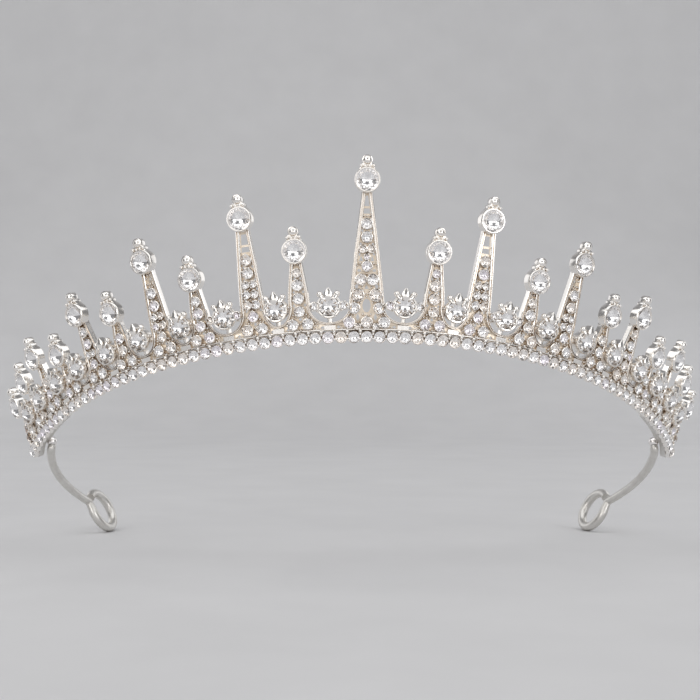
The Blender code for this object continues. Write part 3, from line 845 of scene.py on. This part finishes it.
def crown(piece, place):
    """Claw setting of a scallop stone: a cup with a mirrored seat, a leaf between two balls, and prongs."""
    girdle = CROWN_FRONT - (1 - STONE_PROUD) * STONE_CROWN * SCALLOP_STONE
    profile = (
        (0.4 * CROWN_RADIUS, CROWN_BACK + 0.0004),
        (0.5 * CROWN_RADIUS, CROWN_BACK),
        (CROWN_RADIUS - 0.0004, CROWN_BACK),
        (CROWN_RADIUS - 0.0001, CROWN_BACK + 0.0003),
        (CROWN_RADIUS, -0.0004),
        (CROWN_RADIUS, girdle - 0.0001),
        (CROWN_RADIUS - 0.00012, girdle + 0.00012),
        (CROWN_SEAT, girdle + 0.0001),
        (CROWN_SEAT - 0.00008, girdle - STONE_GIRDLE - 0.00006),
        (0.0, girdle - STONE_GIRDLE - STONE_PAVILION * SCALLOP_STONE - 0.00008),
    )
    cup(piece, place, profile, CROWN_SIDES)
    claw(piece, place, 0.0, LEAF)
    for sign in (1, -1):
        angle = sign * radians(CROWN_ARM_TURN)
        claw(piece, place, angle, ARM)
        x = CROWN_BALL_REACH * sin(angle)
        y = CROWN_BALL_REACH * cos(angle)
        bead(piece, place, x, y, CROWN_BALL_FRONT, CROWN_BALL)
        for degrees in CROWN_PRONG_TURNS:
            claw(piece, place, sign * radians(degrees), PRONG)


def collet(piece, place, radius, deep, turn):
    """Cup of a small stone with a mirrored seat and grains of metal over the stone's edge."""
    outer = radius + PAVE_WALL
    girdle = PAVE_FRONT - 0.00012
    profile = (
        (0.35 * radius, PAVE_BACK + 0.0003),
        (0.45 * radius, PAVE_BACK),
        (outer - 0.0001, PAVE_BACK),
        (outer, PAVE_BACK + 0.0001),
        (outer, PAVE_FRONT - 0.00016),
        (outer - 0.00005, PAVE_FRONT - 0.00003),
        (radius + 0.00003, PAVE_FRONT),
        (radius - 0.00004, girdle - 0.00014),
        (0.0, girdle - STONE_GIRDLE - deep - 0.00005),
    )
    cup(piece, place, profile, COLLET_SIDES)
    for step in range(PAVE_GRAINS):
        angle = turn + 2 * pi * (step + 0.5) / PAVE_GRAINS
        reach = radius + PAVE_GRAIN_REACH
        bead(piece, place, reach * cos(angle), reach * sin(angle), PAVE_GRAIN_FRONT, PAVE_GRAIN)


def leaning():
    """A small stone never sits quite level in its cup."""
    nod = Matrix.Rotation(chance.uniform(-LEAN, LEAN), 4, "X")
    return nod @ Matrix.Rotation(chance.uniform(-LEAN, LEAN), 4, "Y")


def small_stone(metal, stones, place, radius):
    """A small stone in its cup, in one of the tints."""
    turn = chance.uniform(0, pi)
    deep = min(SMALL_PAVILION * radius, PAVE_DEEP)
    collet(metal, place, radius, deep, turn)
    look = chance.choice(TINTS)
    girdle = PAVE_FRONT - STONE_GIRDLE
    gem(stones, place @ leaning(), girdle, radius, SMALL_CUT, deep, SMALL_FOLDS, turn, look, SMALL_FOIL)


# Castings

BAR = bar_section(0.5 * BAR_WIDTH, BAR_FRONT, BAR_BACK, BAR_SOFT, GROOVE)
SILL = bar_section(SILL_HALF, SILL_FRONT, BAR_BACK, SILL_SOFT)
PLATE = bar_section(PLATE_HALF, PLATE_FRONT, BAR_BACK, PLATE_SOFT)


def scallop_angle(inner, outer):
    """Angle midway between two spires."""
    left = SPIRES[inner].aside(SPIRES[inner].half, SCALLOP_HEIGHT)
    right = SPIRES[outer].aside(-SPIRES[outer].half, SCALLOP_HEIGHT)
    return 0.5 * (left + right)


def bowl(inner, outer):
    """Centre line of a scallop's curved bar, from the inner spire's flank round to the outer one's."""
    left = SPIRES[inner].aside(SPIRES[inner].broad - 0.5 * BAR_WIDTH, SCALLOP_HEIGHT)
    right = SPIRES[outer].aside(0.5 * BAR_WIDTH - SPIRES[outer].broad, SCALLOP_HEIGHT)
    middle = scallop_angle(inner, outer)
    route = []
    for step in range(BOWL_STEPS + 1):
        turn = pi * step / BOWL_STEPS
        reach = middle - left if step < HALF_BOWL else right - middle
        route.append((middle - reach * cos(turn), SCALLOP_HEIGHT - BOWL_DEPTH * sin(turn)))
    return route


def signed(route, sign):
    """A route of the right side, or its mirror on the left side."""
    return [(sign * angle, height) for angle, height in route]


def slimmed(before, after):
    """Shares of a bar's width along a flank, round a bowl and up the next flank."""
    thinner = 1.0 - BOWL_SLIM
    middle = [1.0 - thinner * sin(pi * step / BOWL_STEPS) ** BOWL_EASE for step in range(BOWL_STEPS + 1)]
    return [1.0] * before + middle + [1.0] * after


def tail():
    """Centre line of the bar that runs down from the last spire to the rail's end."""
    spire = SPIRES[LAST_SPIRE]
    route = spire.flank(1, spire.shoulder - TAIL_DROP)
    for along, up in TAIL:
        height = PANEL_FOOT + up * (spire.shoulder - PANEL_FOOT)
        route.append((spire.aside(along * END_LENGTH, height), height))
    return route


def top_openings(spire):
    """Narrow openings under a neck, and the height under them."""
    low = spire.neck - OPEN_OVER
    pits = []
    if spire.run < OPEN_RUN:
        return pits, low
    for tall, gap in OPENINGS:
        low -= gap
        wide = spire.half_at(low - tall) - OPEN_FOOT * BAR_WIDTH
        slim = max(OPEN_LEAST, spire.half_at(low) - OPEN_TOP * BAR_WIDTH)
        corners = ((-slim, low), (-wide, low - tall), (wide, low - tall), (slim, low))
        pits.append([(spire.aside(across, height), height) for across, height in corners])
        low -= tall
    return pits, low - OPEN_UNDER


def centre_plan():
    """Small stones, grains and holes of the middle spire, and the height over them."""
    stones = [(across, GALLERY_ROW, 0.0010) for across in (-0.0033, 0.0, 0.0033)]
    pits = [(0.0, 0.00655, 0.0016, 0.0026, 12), (0.0, 0.0099, 0.0010, 0.0010, 3)]
    grains = [(0.0, 0.0124, 0.00022)]
    for sign in (-1, 1):
        stones += [
            (sign * 0.00172, 0.00262, 0.00052),
            (sign * 0.00235, 0.00605, 0.00098),
            (sign * 0.00172, 0.00848, 0.00112),
            (sign * 0.00112, 0.01135, 0.0010),
        ]
        pits += [
            (sign * 0.00168, 0.0044, 0.0007, 0.0014, 4),
            (sign * 0.00192, 0.01015, 0.0007, 0.0008, 8),
            (sign * 0.00145, 0.0131, 0.0008, 0.0006, 5),
            (sign * 0.00108, 0.0152, 0.0009, 0.0014, 3),
        ]
        grains += [
            (sign * 0.00335, 0.00505, 0.00030),
            (sign * 0.00075, 0.0049, 0.00030),
            (sign * 0.00118, 0.0078, 0.00026),
            (sign * 0.00128, 0.0144, 0.00030),
            (sign * 0.00138, 0.0169, 0.00028),
        ]
    stones += [(0.0, 0.01385, 0.00092), (0.0, 0.0156, 0.0005)]
    return stones, grains, pits, 0.0160


def spire_plan():
    """Small stones, grains and holes at the foot of any other spire, and the height over them."""
    stones = [(across, GALLERY_ROW, PAVE_STONE) for across in (-0.00142, 0.00142)]
    stones.append((0.0, SECOND_ROW, SECOND_STONE))
    grains = [(-0.00125, 0.00525, 0.00028), (0.00125, 0.00525, 0.00028), (0.0, 0.00235, 0.00030)]
    pits = [(0.0, 0.00445, 0.0007, 0.0006, 6)]
    return stones, grains, pits, SECOND_ROW + SECOND_STONE + PAVE_WALL


def gap_to(point, start, end):
    """Distance from a point to a straight edge."""
    along = end - start
    share = max(0.0, min(1.0, (point - start).dot(along) / max(along.length_squared, 1e-12)))
    return (point - start - along * share).length


def within(spot, loops):
    """Whether a point lies inside the first loop and outside the others."""
    inside = False
    for loop in loops:
        for corner, start in enumerate(loop):
            end = loop[corner - 1]
            if (start.y > spot.y) != (end.y > spot.y):
                if spot.x < start.x + (spot.y - start.y) * (end.x - start.x) / (end.y - start.y):
                    inside = not inside
    return inside


def bare(spot, loops, spots, grains, plates):
    """Whether a fine grain has room at a point of a web."""
    if any((spot - Vector((x, y))).length < radius + PAVE_WALL + FILL_FROM_STONE for x, y, radius in spots):
        return False
    if any((spot - Vector((x, y))).length < radius + FILL_GRAIN for x, y, radius in grains):
        return False
    wide, tall = FILL_FROM_PLATE
    if any(abs(spot.x - x) < wide and abs(spot.y - y) < tall for x, y in plates):
        return False
    for number, loop in enumerate(loops):
        margin = FILL_FROM_HOLE if number else FILL_FROM_EDGE
        if any(gap_to(spot, start, loop[corner - 1]) < margin for corner, start in enumerate(loop)):
            return False
    return within(spot, loops)


def fill(middle, loops, spots, grains, plates):
    """Places of the fine grains that cover what is left bare of a web, in staggered rows."""
    flat = [[Vector(((angle - middle) * radius_at(up), up)) for angle, up in loop] for loop in loops]
    reach = int(max(corner.x for corner in flat[0]) / FILL_STEP) + 1
    highest = max(corner.y for corner in flat[0])
    places = []
    for row in range(int((highest - PANEL_FOOT) / FILL_STEP)):
        up = PANEL_FOOT + (row + FILL_START) * FILL_STEP
        for step in range(-reach, reach + 1):
            spot = Vector(((step + 0.5 * (row % 2)) * FILL_STEP, up))
            if bare(spot, flat, spots, grains, plates):
                places.append(spot)
    return places


def climb(spire, height, top, spots, grains, pits):
    """Add small stones, grains and holes between two heights, the stones in pairs where there is room."""
    while True:
        inner = spire.half_at(height + ROOM_AHEAD) - BAR_WIDTH
        pair = inner > PAIR_ROOM
        radius = min(PAIR_STONE, 0.5 * inner - PAIR_EASE) if pair else min(PAVE_STONE, inner)
        middle = height + PAVE_GAP + radius + PAVE_WALL
        if radius < LEAST_STONE or middle + radius > top:
            return
        spread = radius + PAIR_GAP
        spots.extend((across, middle, radius) for across in ((-spread, spread) if pair else (0.0,)))
        side = spire.half_at(height) - BAR_WIDTH
        level = height + 0.5 * PAVE_GAP
        if side > PIT_ROOM:
            pits.extend(spire.pit(across, level, *PIT) for across in (PIT_INSET - side, side - PIT_INSET))
            if pair:
                grains.append((0.0, level, PAIR_GRAIN))
        elif side > GRAIN_ROOM:
            grains.extend((across, level, FLANK_GRAIN) for across in (-side, side))
        height = middle + radius + PAVE_WALL


def web_outline(number):
    """Outline of a spire's web, and the angles at which it ends to the left and to the right."""
    spire = SPIRES[number]
    if number < LAST_SPIRE:
        right = spire.flank(1)[:-1] + bowl(number, number + 1)[:HALF_BOWL + 1]
        away = scallop_angle(number, number + 1)
    else:
        right = tail()
        away = right[-1][0]
    if number:
        left = spire.flank(-1)[:-1] + bowl(number - 1, number)[:HALF_BOWL - 1:-1]
        near = scallop_angle(number - 1, number)
    else:
        left = signed(right, -1)
        near = -away
    foot = [(away + (near - away) * step / FOOT_STEPS, PANEL_FOOT) for step in range(FOOT_STEPS + 1)]
    return right + foot + left[::-1], near, away


def pave(metal, stones, sign, number):
    """Web and small stones of one spire, from the gallery up to the neck."""
    spire = SPIRES[number]
    spots, grains, holes, height = spire_plan() if number else centre_plan()
    pits, top = top_openings(spire)
    if number == HOLED_SPIRE:
        pits.append(spire.pit(0.0, top - HOLE_DROP, *HOLE))
        top -= HOLE_ROOM
    pits += [spire.pit(*hole) for hole in holes]
    climb(spire, height, top, spots, grains, pits)
    outline, near, away = web_outline(number)
    feet = [near * BAND_RADIUS + FOOT_HOLE]
    if number < LAST_SPIRE:
        feet.insert(0, away * BAND_RADIUS - FOOT_HOLE)
    pits += [SPIRES[0].pit(across, *FOOT_PIT) for across in feet]
    sheet(metal, [signed(loop, sign) for loop in [outline] + pits], WEB_FRONT, WEB_BACK)
    spread = 1 + PLATE_HEIGHT * SIN_F / BAND_RADIUS
    plates = [((angle * BAND_RADIUS - spire.arc) * spread, PLATE_HEIGHT) for angle in (near, away)]
    for across, up in fill(spire.angle, [outline] + pits, spots, grains, plates):
        dome(metal, spire.seat(sign, across, up), FILL_GRAIN, FILL_BACK, FILL_FRONT)
    for across, up, radius in spots:
        small_stone(metal, stones, spire.seat(sign, across, up), radius)
    for across, up, radius in grains:
        dome(metal, spire.seat(sign, across, up), radius, WEB_BACK, PAVE_FRONT)


def spire_top(metal, sign, spire):
    """Bezel and finial plate of a spire."""
    place = frame_at(sign * spire.angle, spire.height)
    bezel(metal, place)
    finial(metal, place)


def scallop(metal, stones, sign, inner, outer):
    """Crown of a scallop on its posts, a plate under it, and a small stone or a grain at each side."""
    middle = scallop_angle(inner, outer)
    centre = frame_at(sign * middle, SCALLOP_HEIGHT)
    crown(metal, centre)
    for degrees, reach, half in POSTS:
        stations = [(end, half, POST_BACK, POST_FRONT) for end in (POST_START, reach)]
        claw(metal, centre, radians(degrees), stations)
    half = PLATE_LENGTH / BAND_RADIUS
    strip(metal, [(sign * middle + half * share, PLATE_HEIGHT) for share in (-1.0, 0.0, 1.0)], PLATE)
    around = radius_at(SCALLOP_HEIGHT)
    room = (middle - SPIRES[inner].aside(SPIRES[inner].half, SCALLOP_HEIGHT)) * around - SCALLOP_STONE
    radius = min(SIDE_STONE, 0.5 * room - SIDE_STONE_EASE)
    for side in (-1, 1):
        if radius > LEAST_STONE:
            across = SCALLOP_STONE + SIDE_STONE_GAP + PAVE_WALL + radius
            place = frame_at(sign * middle + side * across / around, SCALLOP_HEIGHT, SIDE_STONE_PROUD)
            small_stone(metal, stones, place, radius)
        else:
            angle = sign * middle + side * (CROWN_RADIUS + SIDE_GRAIN_GAP) / BAND_RADIUS
            place = frame_at(angle, SCALLOP_HEIGHT + SIDE_GRAIN_RISE)
            dome(metal, place, SIDE_GRAIN, WEB_BACK, SIDE_GRAIN_FRONT)


def sill(metal, start, end):
    """Narrow bar along the foot of a casting, between two angles."""
    steps = max(6, int((end - start) * BAND_RADIUS / SILL_STEP))
    height = PANEL_FOOT + SILL_HALF
    strip(metal, [(start + (end - start) * step / steps, height) for step in range(steps + 1)], SILL)


def seam(inner, outer):
    """Angle at which one casting ends and the next one begins."""
    return scallop_angle(inner, outer) - (CROWN_RADIUS + SEAM_GAP) / radius_at(SCALLOP_HEIGHT)


def side_bars(metal, sign, inner, outer, whole):
    """Curved bar of a scallop with the outer spire's flank, and with the inner one's where it is whole."""
    down = SPIRES[inner].flank(1)[:-1] if whole else []
    up = SPIRES[outer].flank(-1)[-2::-1]
    strip(metal, signed(down + bowl(inner, outer) + up, sign), BAR, slimmed(len(down), len(up)))


def centre_casting():
    """The middle spire, the first one at each side and the scallops between them."""
    metal = Piece("casting_centre", CAST, FOIL, RECESS_TARNISH_AND_SHADE)
    stones = Piece("pave_centre", *STONE_LOOKS)
    for sign, number in ((1, 0), (-1, 1), (1, 1)):
        spire_top(metal, sign, SPIRES[number])
        pave(metal, stones, sign, number)
    for sign in (-1, 1):
        scallop(metal, stones, sign, 0, 1)
        side_bars(metal, sign, 0, 1, True)
        strip(metal, signed(SPIRES[1].flank(1), sign), BAR)
    reach = seam(1, 2)
    sill(metal, -reach, reach)
    metal.make("frame", "cast_silver", "centre_panel")
    stones.make("frame", "foiled_crystal")


def side_casting(side, sign, label, first):
    """Three spires of one side with the scallops before them."""
    metal = Piece(f"casting_{side}_{label}", CAST, FOIL, RECESS_TARNISH_AND_SHADE)
    stones = Piece(f"pave_{side}_{label}", *STONE_LOOKS)
    last = first + 2
    for number in range(first, last + 1):
        spire_top(metal, sign, SPIRES[number])
        pave(metal, stones, sign, number)
        scallop(metal, stones, sign, number - 1, number)
        side_bars(metal, sign, number - 1, number, number > first)
    start = seam(first - 1, first)
    if last == LAST_SPIRE:
        strip(metal, signed(tail(), sign), BAR)
        for along, height, radius in TAIL_STONES:
            small_stone(metal, stones, SPIRES[last].seat(sign, along * END_LENGTH, height), radius)
        end = SPIRES[last].aside(TAIL_SILL * END_LENGTH, PANEL_FOOT)
    else:
        strip(metal, signed(SPIRES[last].flank(1), sign), BAR)
        end = seam(last, last + 1)
    sill(metal, *sorted((sign * start, sign * end)))
    metal.make("frame", "cast_silver", f"{side}_{label}_panel")
    stones.make("frame", "foiled_crystal")


def large_stone(node, angle, height, radius, front):
    """A stone in a bezel or in a crown, whose edge lies under the given front."""
    stone = Piece("gem_" + node, CLEAR, FOIL)
    turn = chance.uniform(0, pi / 4)
    girdle = front - (1 - STONE_PROUD) * STONE_CROWN * radius
    deep = STONE_PAVILION * radius
    gem(stone, frame_at(angle, height), girdle, radius, LARGE_CUT, deep, LARGE_FOLDS, turn, 0, LARGE_FOIL)
    stone.make("frame", "foiled_crystal", node)


def large_stones():
    large_stone("finial_stone_centre", 0.0, SPIRES[0].height, FINIAL_STONE, BEZEL_FRONT)
    for side, sign in (("left", -1), ("right", 1)):
        for number in range(1, LAST_SPIRE + 1):
            label = f"{side}_{number:02d}"
            angle = sign * SPIRES[number].angle
            large_stone("finial_stone_" + label, angle, SPIRES[number].height, FINIAL_STONE, BEZEL_FRONT)
            angle = sign * scallop_angle(number - 1, number)
            large_stone("scallop_stone_" + label, angle, SCALLOP_HEIGHT, SCALLOP_STONE, CROWN_FRONT)


def row_cup(metal, place, outer, stone):
    """Cup of a stone of the row, with a mirrored seat."""
    profile = (
        (0.3 * outer, -ROW_DEPTH),
        (outer - 0.00012, -ROW_DEPTH),
        (outer, -ROW_DEPTH + 0.00015),
        (outer, -0.00040),
        (outer - 0.00004, -0.00022),
        (stone + 0.00004, -0.00014),
        (stone - 0.00003, -0.00028),
        (0.0, 0.00002 - ROW_DEPTH),
    )
    cup(metal, place, profile, ROW_SIDES)


def bottom_row():
    """Small stones in cups along the lower edge, with grains and a link between the cups."""
    metal = Piece("row_cups", CAST, FOIL)
    stones = Piece("row_stones", *STONE_LOOKS)
    height = ROW_LOW + ROW_RADIUS
    deep = SMALL_PAVILION * ROW_STONE
    link = ((0.0, -ROW_DEPTH), (0.0005, -ROW_DEPTH), (0.0005, -0.0006), (0.0, -0.0005))
    for number in range(-ROW_PER_SIDE, ROW_PER_SIDE + 1):
        last = abs(number) == ROW_PER_SIDE
        size = LAST_STONE if last else 1.0
        stone = ROW_STONE * size
        arc = number * ROW_PITCH + (math.copysign(LAST_SHIFT, number) if last else 0.0)
        place = frame_at(arc / BAND_RADIUS, height)
        turn = chance.uniform(0, pi)
        row_cup(metal, place, ROW_RADIUS * size, stone)
        look = chance.choice(TINTS)
        leant = place @ leaning()
        gem(stones, leant, ROW_GIRDLE, stone, SMALL_CUT, deep, SMALL_FOLDS, turn, look, SMALL_FOIL)
        if number < ROW_PER_SIDE:
            between = frame_at((number + 0.5) * ROW_PITCH / BAND_RADIUS, height)
            for up, radius in ROW_GRAINS:
                bead(metal, between, 0.0, up, ROW_GRAIN_FRONT, radius)
            lathe(metal, between, link, LINK_SIDES)
    metal.make("frame", "cast_silver")
    stones.make("frame", "row_crystal", "bottom_stone_row")


def rail():
    """Flat rail behind the row, with rounded ends."""
    metal = Piece("rail_strip", RAIL)
    half = 0.5 * (RAIL_HEIGHT - RAIL_EASE)
    middle = RAIL_LOW + RAIL_EASE + half
    straight = RAIL_HALF + TAB_EXTRA - TAB_HALF
    stops = []
    for step in range(1, TAB_STEPS + 1):
        turn = 0.5 * pi * step / TAB_STEPS
        stops.append((straight + TAB_HALF * cos(turn), TAB_HALF * sin(turn)))
    for step in range(1, RAIL_STEPS):
        arc = straight - 2 * straight * step / RAIL_STEPS
        share = max(0.0, 1 - (straight - abs(arc)) / TAB_RUN)
        stops.append((arc, half + (TAB_HALF - half) * share * share * (3 - 2 * share)))
    stops += [(-arc, tall) for arc, tall in reversed(stops[:TAB_STEPS])]
    loops = []
    for arc, tall in stops:
        flat = tall - min(RAIL_SOFT, RAIL_TIP_SOFT * tall)
        high = [
            (flat, RAIL_FRONT),
            (tall, RAIL_FRONT - RAIL_SOFT),
            (tall, RAIL_BACK + RAIL_SOFT),
            (flat, RAIL_BACK),
        ]
        low = [(-up, depth) for up, depth in reversed(high)]
        corners = low[-1:] + high + low[:-1]
        loops.append([on_cone(arc / BAND_RADIUS, middle + up, depth) for up, depth in corners])
    loft(metal, loops)
    metal.make("frame", "rail_silver", "lower_rail")


# Arms

RAIL_INNER = BAND_RADIUS + (BEAD_CENTRE + RAIL_BACK * SIN_F) / COS_F * SIN_F + RAIL_BACK * COS_F
PIVOT_RADIUS = RAIL_INNER - (BEAD_RADIUS + SEAT_GAP) / COS_F
PIVOT_ANGLE = (RAIL_HALF - PIVOT_INSET) / BAND_RADIUS
WIRE_HEIGHT = BEAD_CENTRE - 0.5 * BEAD_HEIGHT - WIRE_DROP - WIRE_RADIUS


def pivot(sign):
    """Foot of an arm's hinge line, in the head circle's frame."""
    angle = sign * PIVOT_ANGLE
    return Vector((PIVOT_RADIUS * sin(angle), -PIVOT_RADIUS * cos(angle), 0))


def arm_route():
    """Centre line of the right arm from its pivot, in the head circle's frame, with the wire's radius."""
    route = [(Vector((0, 0, BEAD_CENTRE + PIN_RISE * BEAD_HEIGHT)), PIN_RADIUS)]
    turn_radius = ARM_TURN * WIRE_RADIUS
    heading = PIVOT_ANGLE + ARM_TOE
    ahead = Vector((cos(heading), sin(heading), 0))
    for drop, radius in PIN_SHOULDER:
        route.append((Vector((0, 0, BEAD_CENTRE - 0.5 * BEAD_HEIGHT - drop)), radius))
    for step in range(1, ARM_TURN_STEPS + 1):
        turn = 0.5 * pi * step / ARM_TURN_STEPS
        spot = ahead * turn_radius * (1 - cos(turn))
        spot.z = WIRE_HEIGHT + turn_radius * (1 - sin(turn))
        route.append((spot, WIRE_RADIUS))
    spot = route[-1][0].copy()
    length = ARM_LENGTH / ARM_STEPS
    for _ in range(ARM_STEPS):
        heading += length / ARM_BEND_RADIUS
        ahead = Vector((cos(heading), sin(heading), 0))
        spot = spot + ahead * length
        route.append((spot.copy(), WIRE_RADIUS))
    up = (Vector((0, 0, 1)) + Vector((ahead.y, -ahead.x, 0)) * LOOP_LEAN).normalized()
    neck = spot
    open_angle = math.acos(LOOP_RADIUS / LOOP_REACH)
    middle = neck + ahead * LOOP_REACH - up * LOOP_SAG
    mouth = middle - ahead * LOOP_RADIUS * cos(open_angle)
    rise = up * LOOP_RADIUS * sin(open_angle)
    lower = mouth - rise
    upper = mouth + rise
    before = route.pop()[0] - ahead * LOOP_NECK_BEFORE * length
    after = neck + (lower - neck) * LOOP_NECK_AFTER
    for step in range(LOOP_NECK_STEPS + 1):
        share = step / LOOP_NECK_STEPS
        bend = before * (1 - share) ** 2 + neck * 2 * share * (1 - share) + after * share ** 2
        route.append((bend, WIRE_RADIUS))
    route.append((neck + (lower - neck) * LOOP_NECK_TAPER, WIRE_RADIUS * 0.5 * (1 + LOOP_WIRE)))
    start = -pi + open_angle
    for step in range(LOOP_STEPS + 1):
        turn = start + (2 * pi - 2 * open_angle) * step / LOOP_STEPS
        spot = middle + ahead * LOOP_RADIUS * cos(turn) + up * LOOP_RADIUS * sin(turn)
        route.append((spot, WIRE_RADIUS * LOOP_WIRE))
    for share, size in LOOP_END:
        end = upper + (neck - upper) * (1 - LOOP_END_SHARE) * share
        route.append((end, WIRE_RADIUS * LOOP_WIRE * size))
    return route


def wire(piece, route):
    """A round wire along points in the head circle's frame, each with its own radius."""
    turns = [2 * pi * step / WIRE_SIDES for step in range(WIRE_SIDES)]
    loops = []
    side = Vector((1, 0, 0))
    for number, (spot, radius) in enumerate(route):
        before = route[max(number - 1, 0)][0]
        after = route[min(number + 1, len(route) - 1)][0]
        ahead = (after - before).normalized()
        side = (side - ahead * side.dot(ahead)).normalized()
        other = ahead.cross(side)
        loops.append([WORN @ (spot + (side * cos(turn) + other * sin(turn)) * radius) for turn in turns])
    loft(piece, loops)


def arm(side, sign):
    """Sprung wire with its loop, which turns about its pin."""
    shape = Piece(f"{side}_wire", WIRE)
    base = pivot(sign)
    wire(shape, [(base + Vector((sign * spot.x, spot.y, spot.z)), radius) for spot, radius in arm_route()])
    shape.make(f"{side}_arm", "wire_silver", f"{side}_arm")


def arm_root(side, sign):
    """Wire soldered along the rail before the bead."""
    shape = Piece(f"{side}_wire_root", WIRE)
    end = RAIL_HALF - PIVOT_INSET - BEAD_RADIUS - ROOT_GAP
    height = RAIL_LOW + ROOT_RISE * RAIL_HEIGHT
    depth = RAIL_BACK - ROOT_SINK * ROOT_RADIUS
    route = []
    for step in range(ROOT_STEPS + 1):
        arc = end - ROOT_LENGTH * (1 - step / ROOT_STEPS)
        spot = WORN.inverted() @ on_cone(sign * arc / BAND_RADIUS, height, depth)
        route.append((spot, ROOT_RADIUS * (ROOT_TIP if step in (0, ROOT_STEPS) else 1.0)))
    wire(shape, route)
    shape.make("frame", "wire_silver", f"{side}_arm_root")


def arm_bead(side, sign):
    """Ball of solder that holds the wire's pin, open underneath."""
    shape = Piece(f"{side}_solder_ball", SOLDER)
    place = WORN @ Matrix.Translation(pivot(sign) + Vector((0, 0, BEAD_CENTRE)))
    bore = PIN_RADIUS + PIN_FIT
    low = -0.5 * BEAD_HEIGHT
    profile = [(0.0, BORE_TIP * BEAD_RADIUS), (bore, BORE_TOP * BEAD_RADIUS), (bore, low)]
    start = math.asin(low / BEAD_RADIUS)
    for step in range(BALL_ROWS):
        turn = start + (0.5 * pi - start) * step / BALL_ROWS
        profile.append((BEAD_RADIUS * cos(turn), BEAD_RADIUS * sin(turn)))
    profile.append((0.0, BEAD_RADIUS))
    lathe(shape, place, profile, BALL_SIDES)
    shape.make("frame", "solder_silver", f"{side}_arm_bead")


centre_casting()
for side_name, side_sign in (("left", -1), ("right", 1)):
    for casting_label, first_spire in (("inner", 2), ("middle", 5), ("outer", 8)):
        side_casting(side_name, side_sign, casting_label, first_spire)
    arm(side_name, side_sign)
    arm_root(side_name, side_sign)
    arm_bead(side_name, side_sign)
large_stones()
bottom_row()
rail()

# Stage: a pale sweep that the loops stand on
FLOOR = CAD_LOW.z
SWEEP_START = 0.35
SWEEP_RADIUS = 0.35
SWEEP_FRONT = -2.0
SWEEP_HEIGHT = 2.0
SWEEP_HALF = 2.5
SWEEP_STEPS = 12
AIM = Vector((0.0, -0.03, 0.03))


def stage():
    """Paper that runs along the floor and curves up behind the object."""
    paper = Look("pale_paper")
    colour = paper.patches(40.0, 3.0, (0.66, 0.66, 0.67), (0.69, 0.69, 0.70))
    profile = [(SWEEP_FRONT, FLOOR), (SWEEP_START, FLOOR)]
    for step in range(1, SWEEP_STEPS + 1):
        turn = 0.5 * pi * step / SWEEP_STEPS
        y = SWEEP_START + SWEEP_RADIUS * sin(turn)
        profile.append((y, FLOOR + SWEEP_RADIUS * (1 - cos(turn))))
    profile.append((SWEEP_START + SWEEP_RADIUS, FLOOR + SWEEP_HEIGHT))
    verts = [(x, y, z) for y, z in profile for x in (-SWEEP_HALF, SWEEP_HALF)]
    faces = [[2 * n, 2 * n + 1, 2 * n + 3, 2 * n + 2] for n in range(len(profile) - 1)]
    mesh = bpy.data.meshes.new("sweep")
    mesh.from_pydata(verts, [], faces)
    mesh.materials.append(paper.done(colour, 0.75, {}))
    mesh.shade_smooth()
    add("sweep", mesh)


def lamp(name, spot, wide, tall, power, tone=(1.0, 1.0, 1.0)):
    """A soft lamp aimed at the middle of the object."""
    light = bpy.data.lights.new(name, "AREA")
    light.shape = "RECTANGLE"
    light.size = wide
    light.size_y = tall
    light.energy = power
    light.color = tone
    made = add(name, light)
    made.location = spot
    made.rotation_euler = (AIM - Vector(spot)).to_track_quat("-Z", "Y").to_euler()


def lights():
    lamp("front_left", (-0.55, -0.80, 0.50), 0.60, 0.60, 1.95, (1.0, 0.98, 0.95))
    lamp("front_right", (0.60, -0.75, 0.36), 0.50, 0.60, 1.65)
    lamp("front_low", (0.03, -1.05, 0.21), 1.75, 0.40, 1.95, (1.0, 0.985, 0.97))
    lamp("top", (0.0, -0.18, 0.80), 2.0, 0.75, 4.7)
    lamp("left_edge", (-0.43, 0.33, 0.22), 0.40, 0.42, 0.36)
    lamp("right_edge", (0.43, 0.33, 0.22), 0.40, 0.42, 0.36)
    world = bpy.data.worlds.new("studio")
    world.use_nodes = True
    sky = world.node_tree.nodes["Background"]
    sky.inputs["Color"].default_value = (0.50, 0.50, 0.51, 1.0)
    sky.inputs["Strength"].default_value = 0.44
    bpy.context.scene.world = world


def camera():
    """Level, in front of the middle spire and a little to its left: a fit to points read off the photo."""
    lens = bpy.data.cameras.new("photo_view")
    lens.sensor_width = 36.0
    lens.lens = 72.0
    lens.clip_start = 0.01
    lens.clip_end = 20.0
    made = add("photo_view", lens)
    right = Vector((0.99907, -0.04299, 0.00379))
    up = Vector((-0.00394, -0.00357, 0.99999))
    back = -Vector((0.04297, 0.99907, 0.00373))
    made.matrix_world = Matrix((right, up, back)).transposed().to_4x4()
    made.location = (-0.014296, -0.323653, 0.032646)
    bpy.context.scene.camera = made


stage()
lights()
camera()
bpy.context.scene.view_settings.view_transform = "Standard"

# Light goes many times to and fro inside a foiled stone before it leaves
paths = bpy.context.scene.cycles
paths.max_bounces = 32
paths.glossy_bounces = 20
paths.transmission_bounces = 20
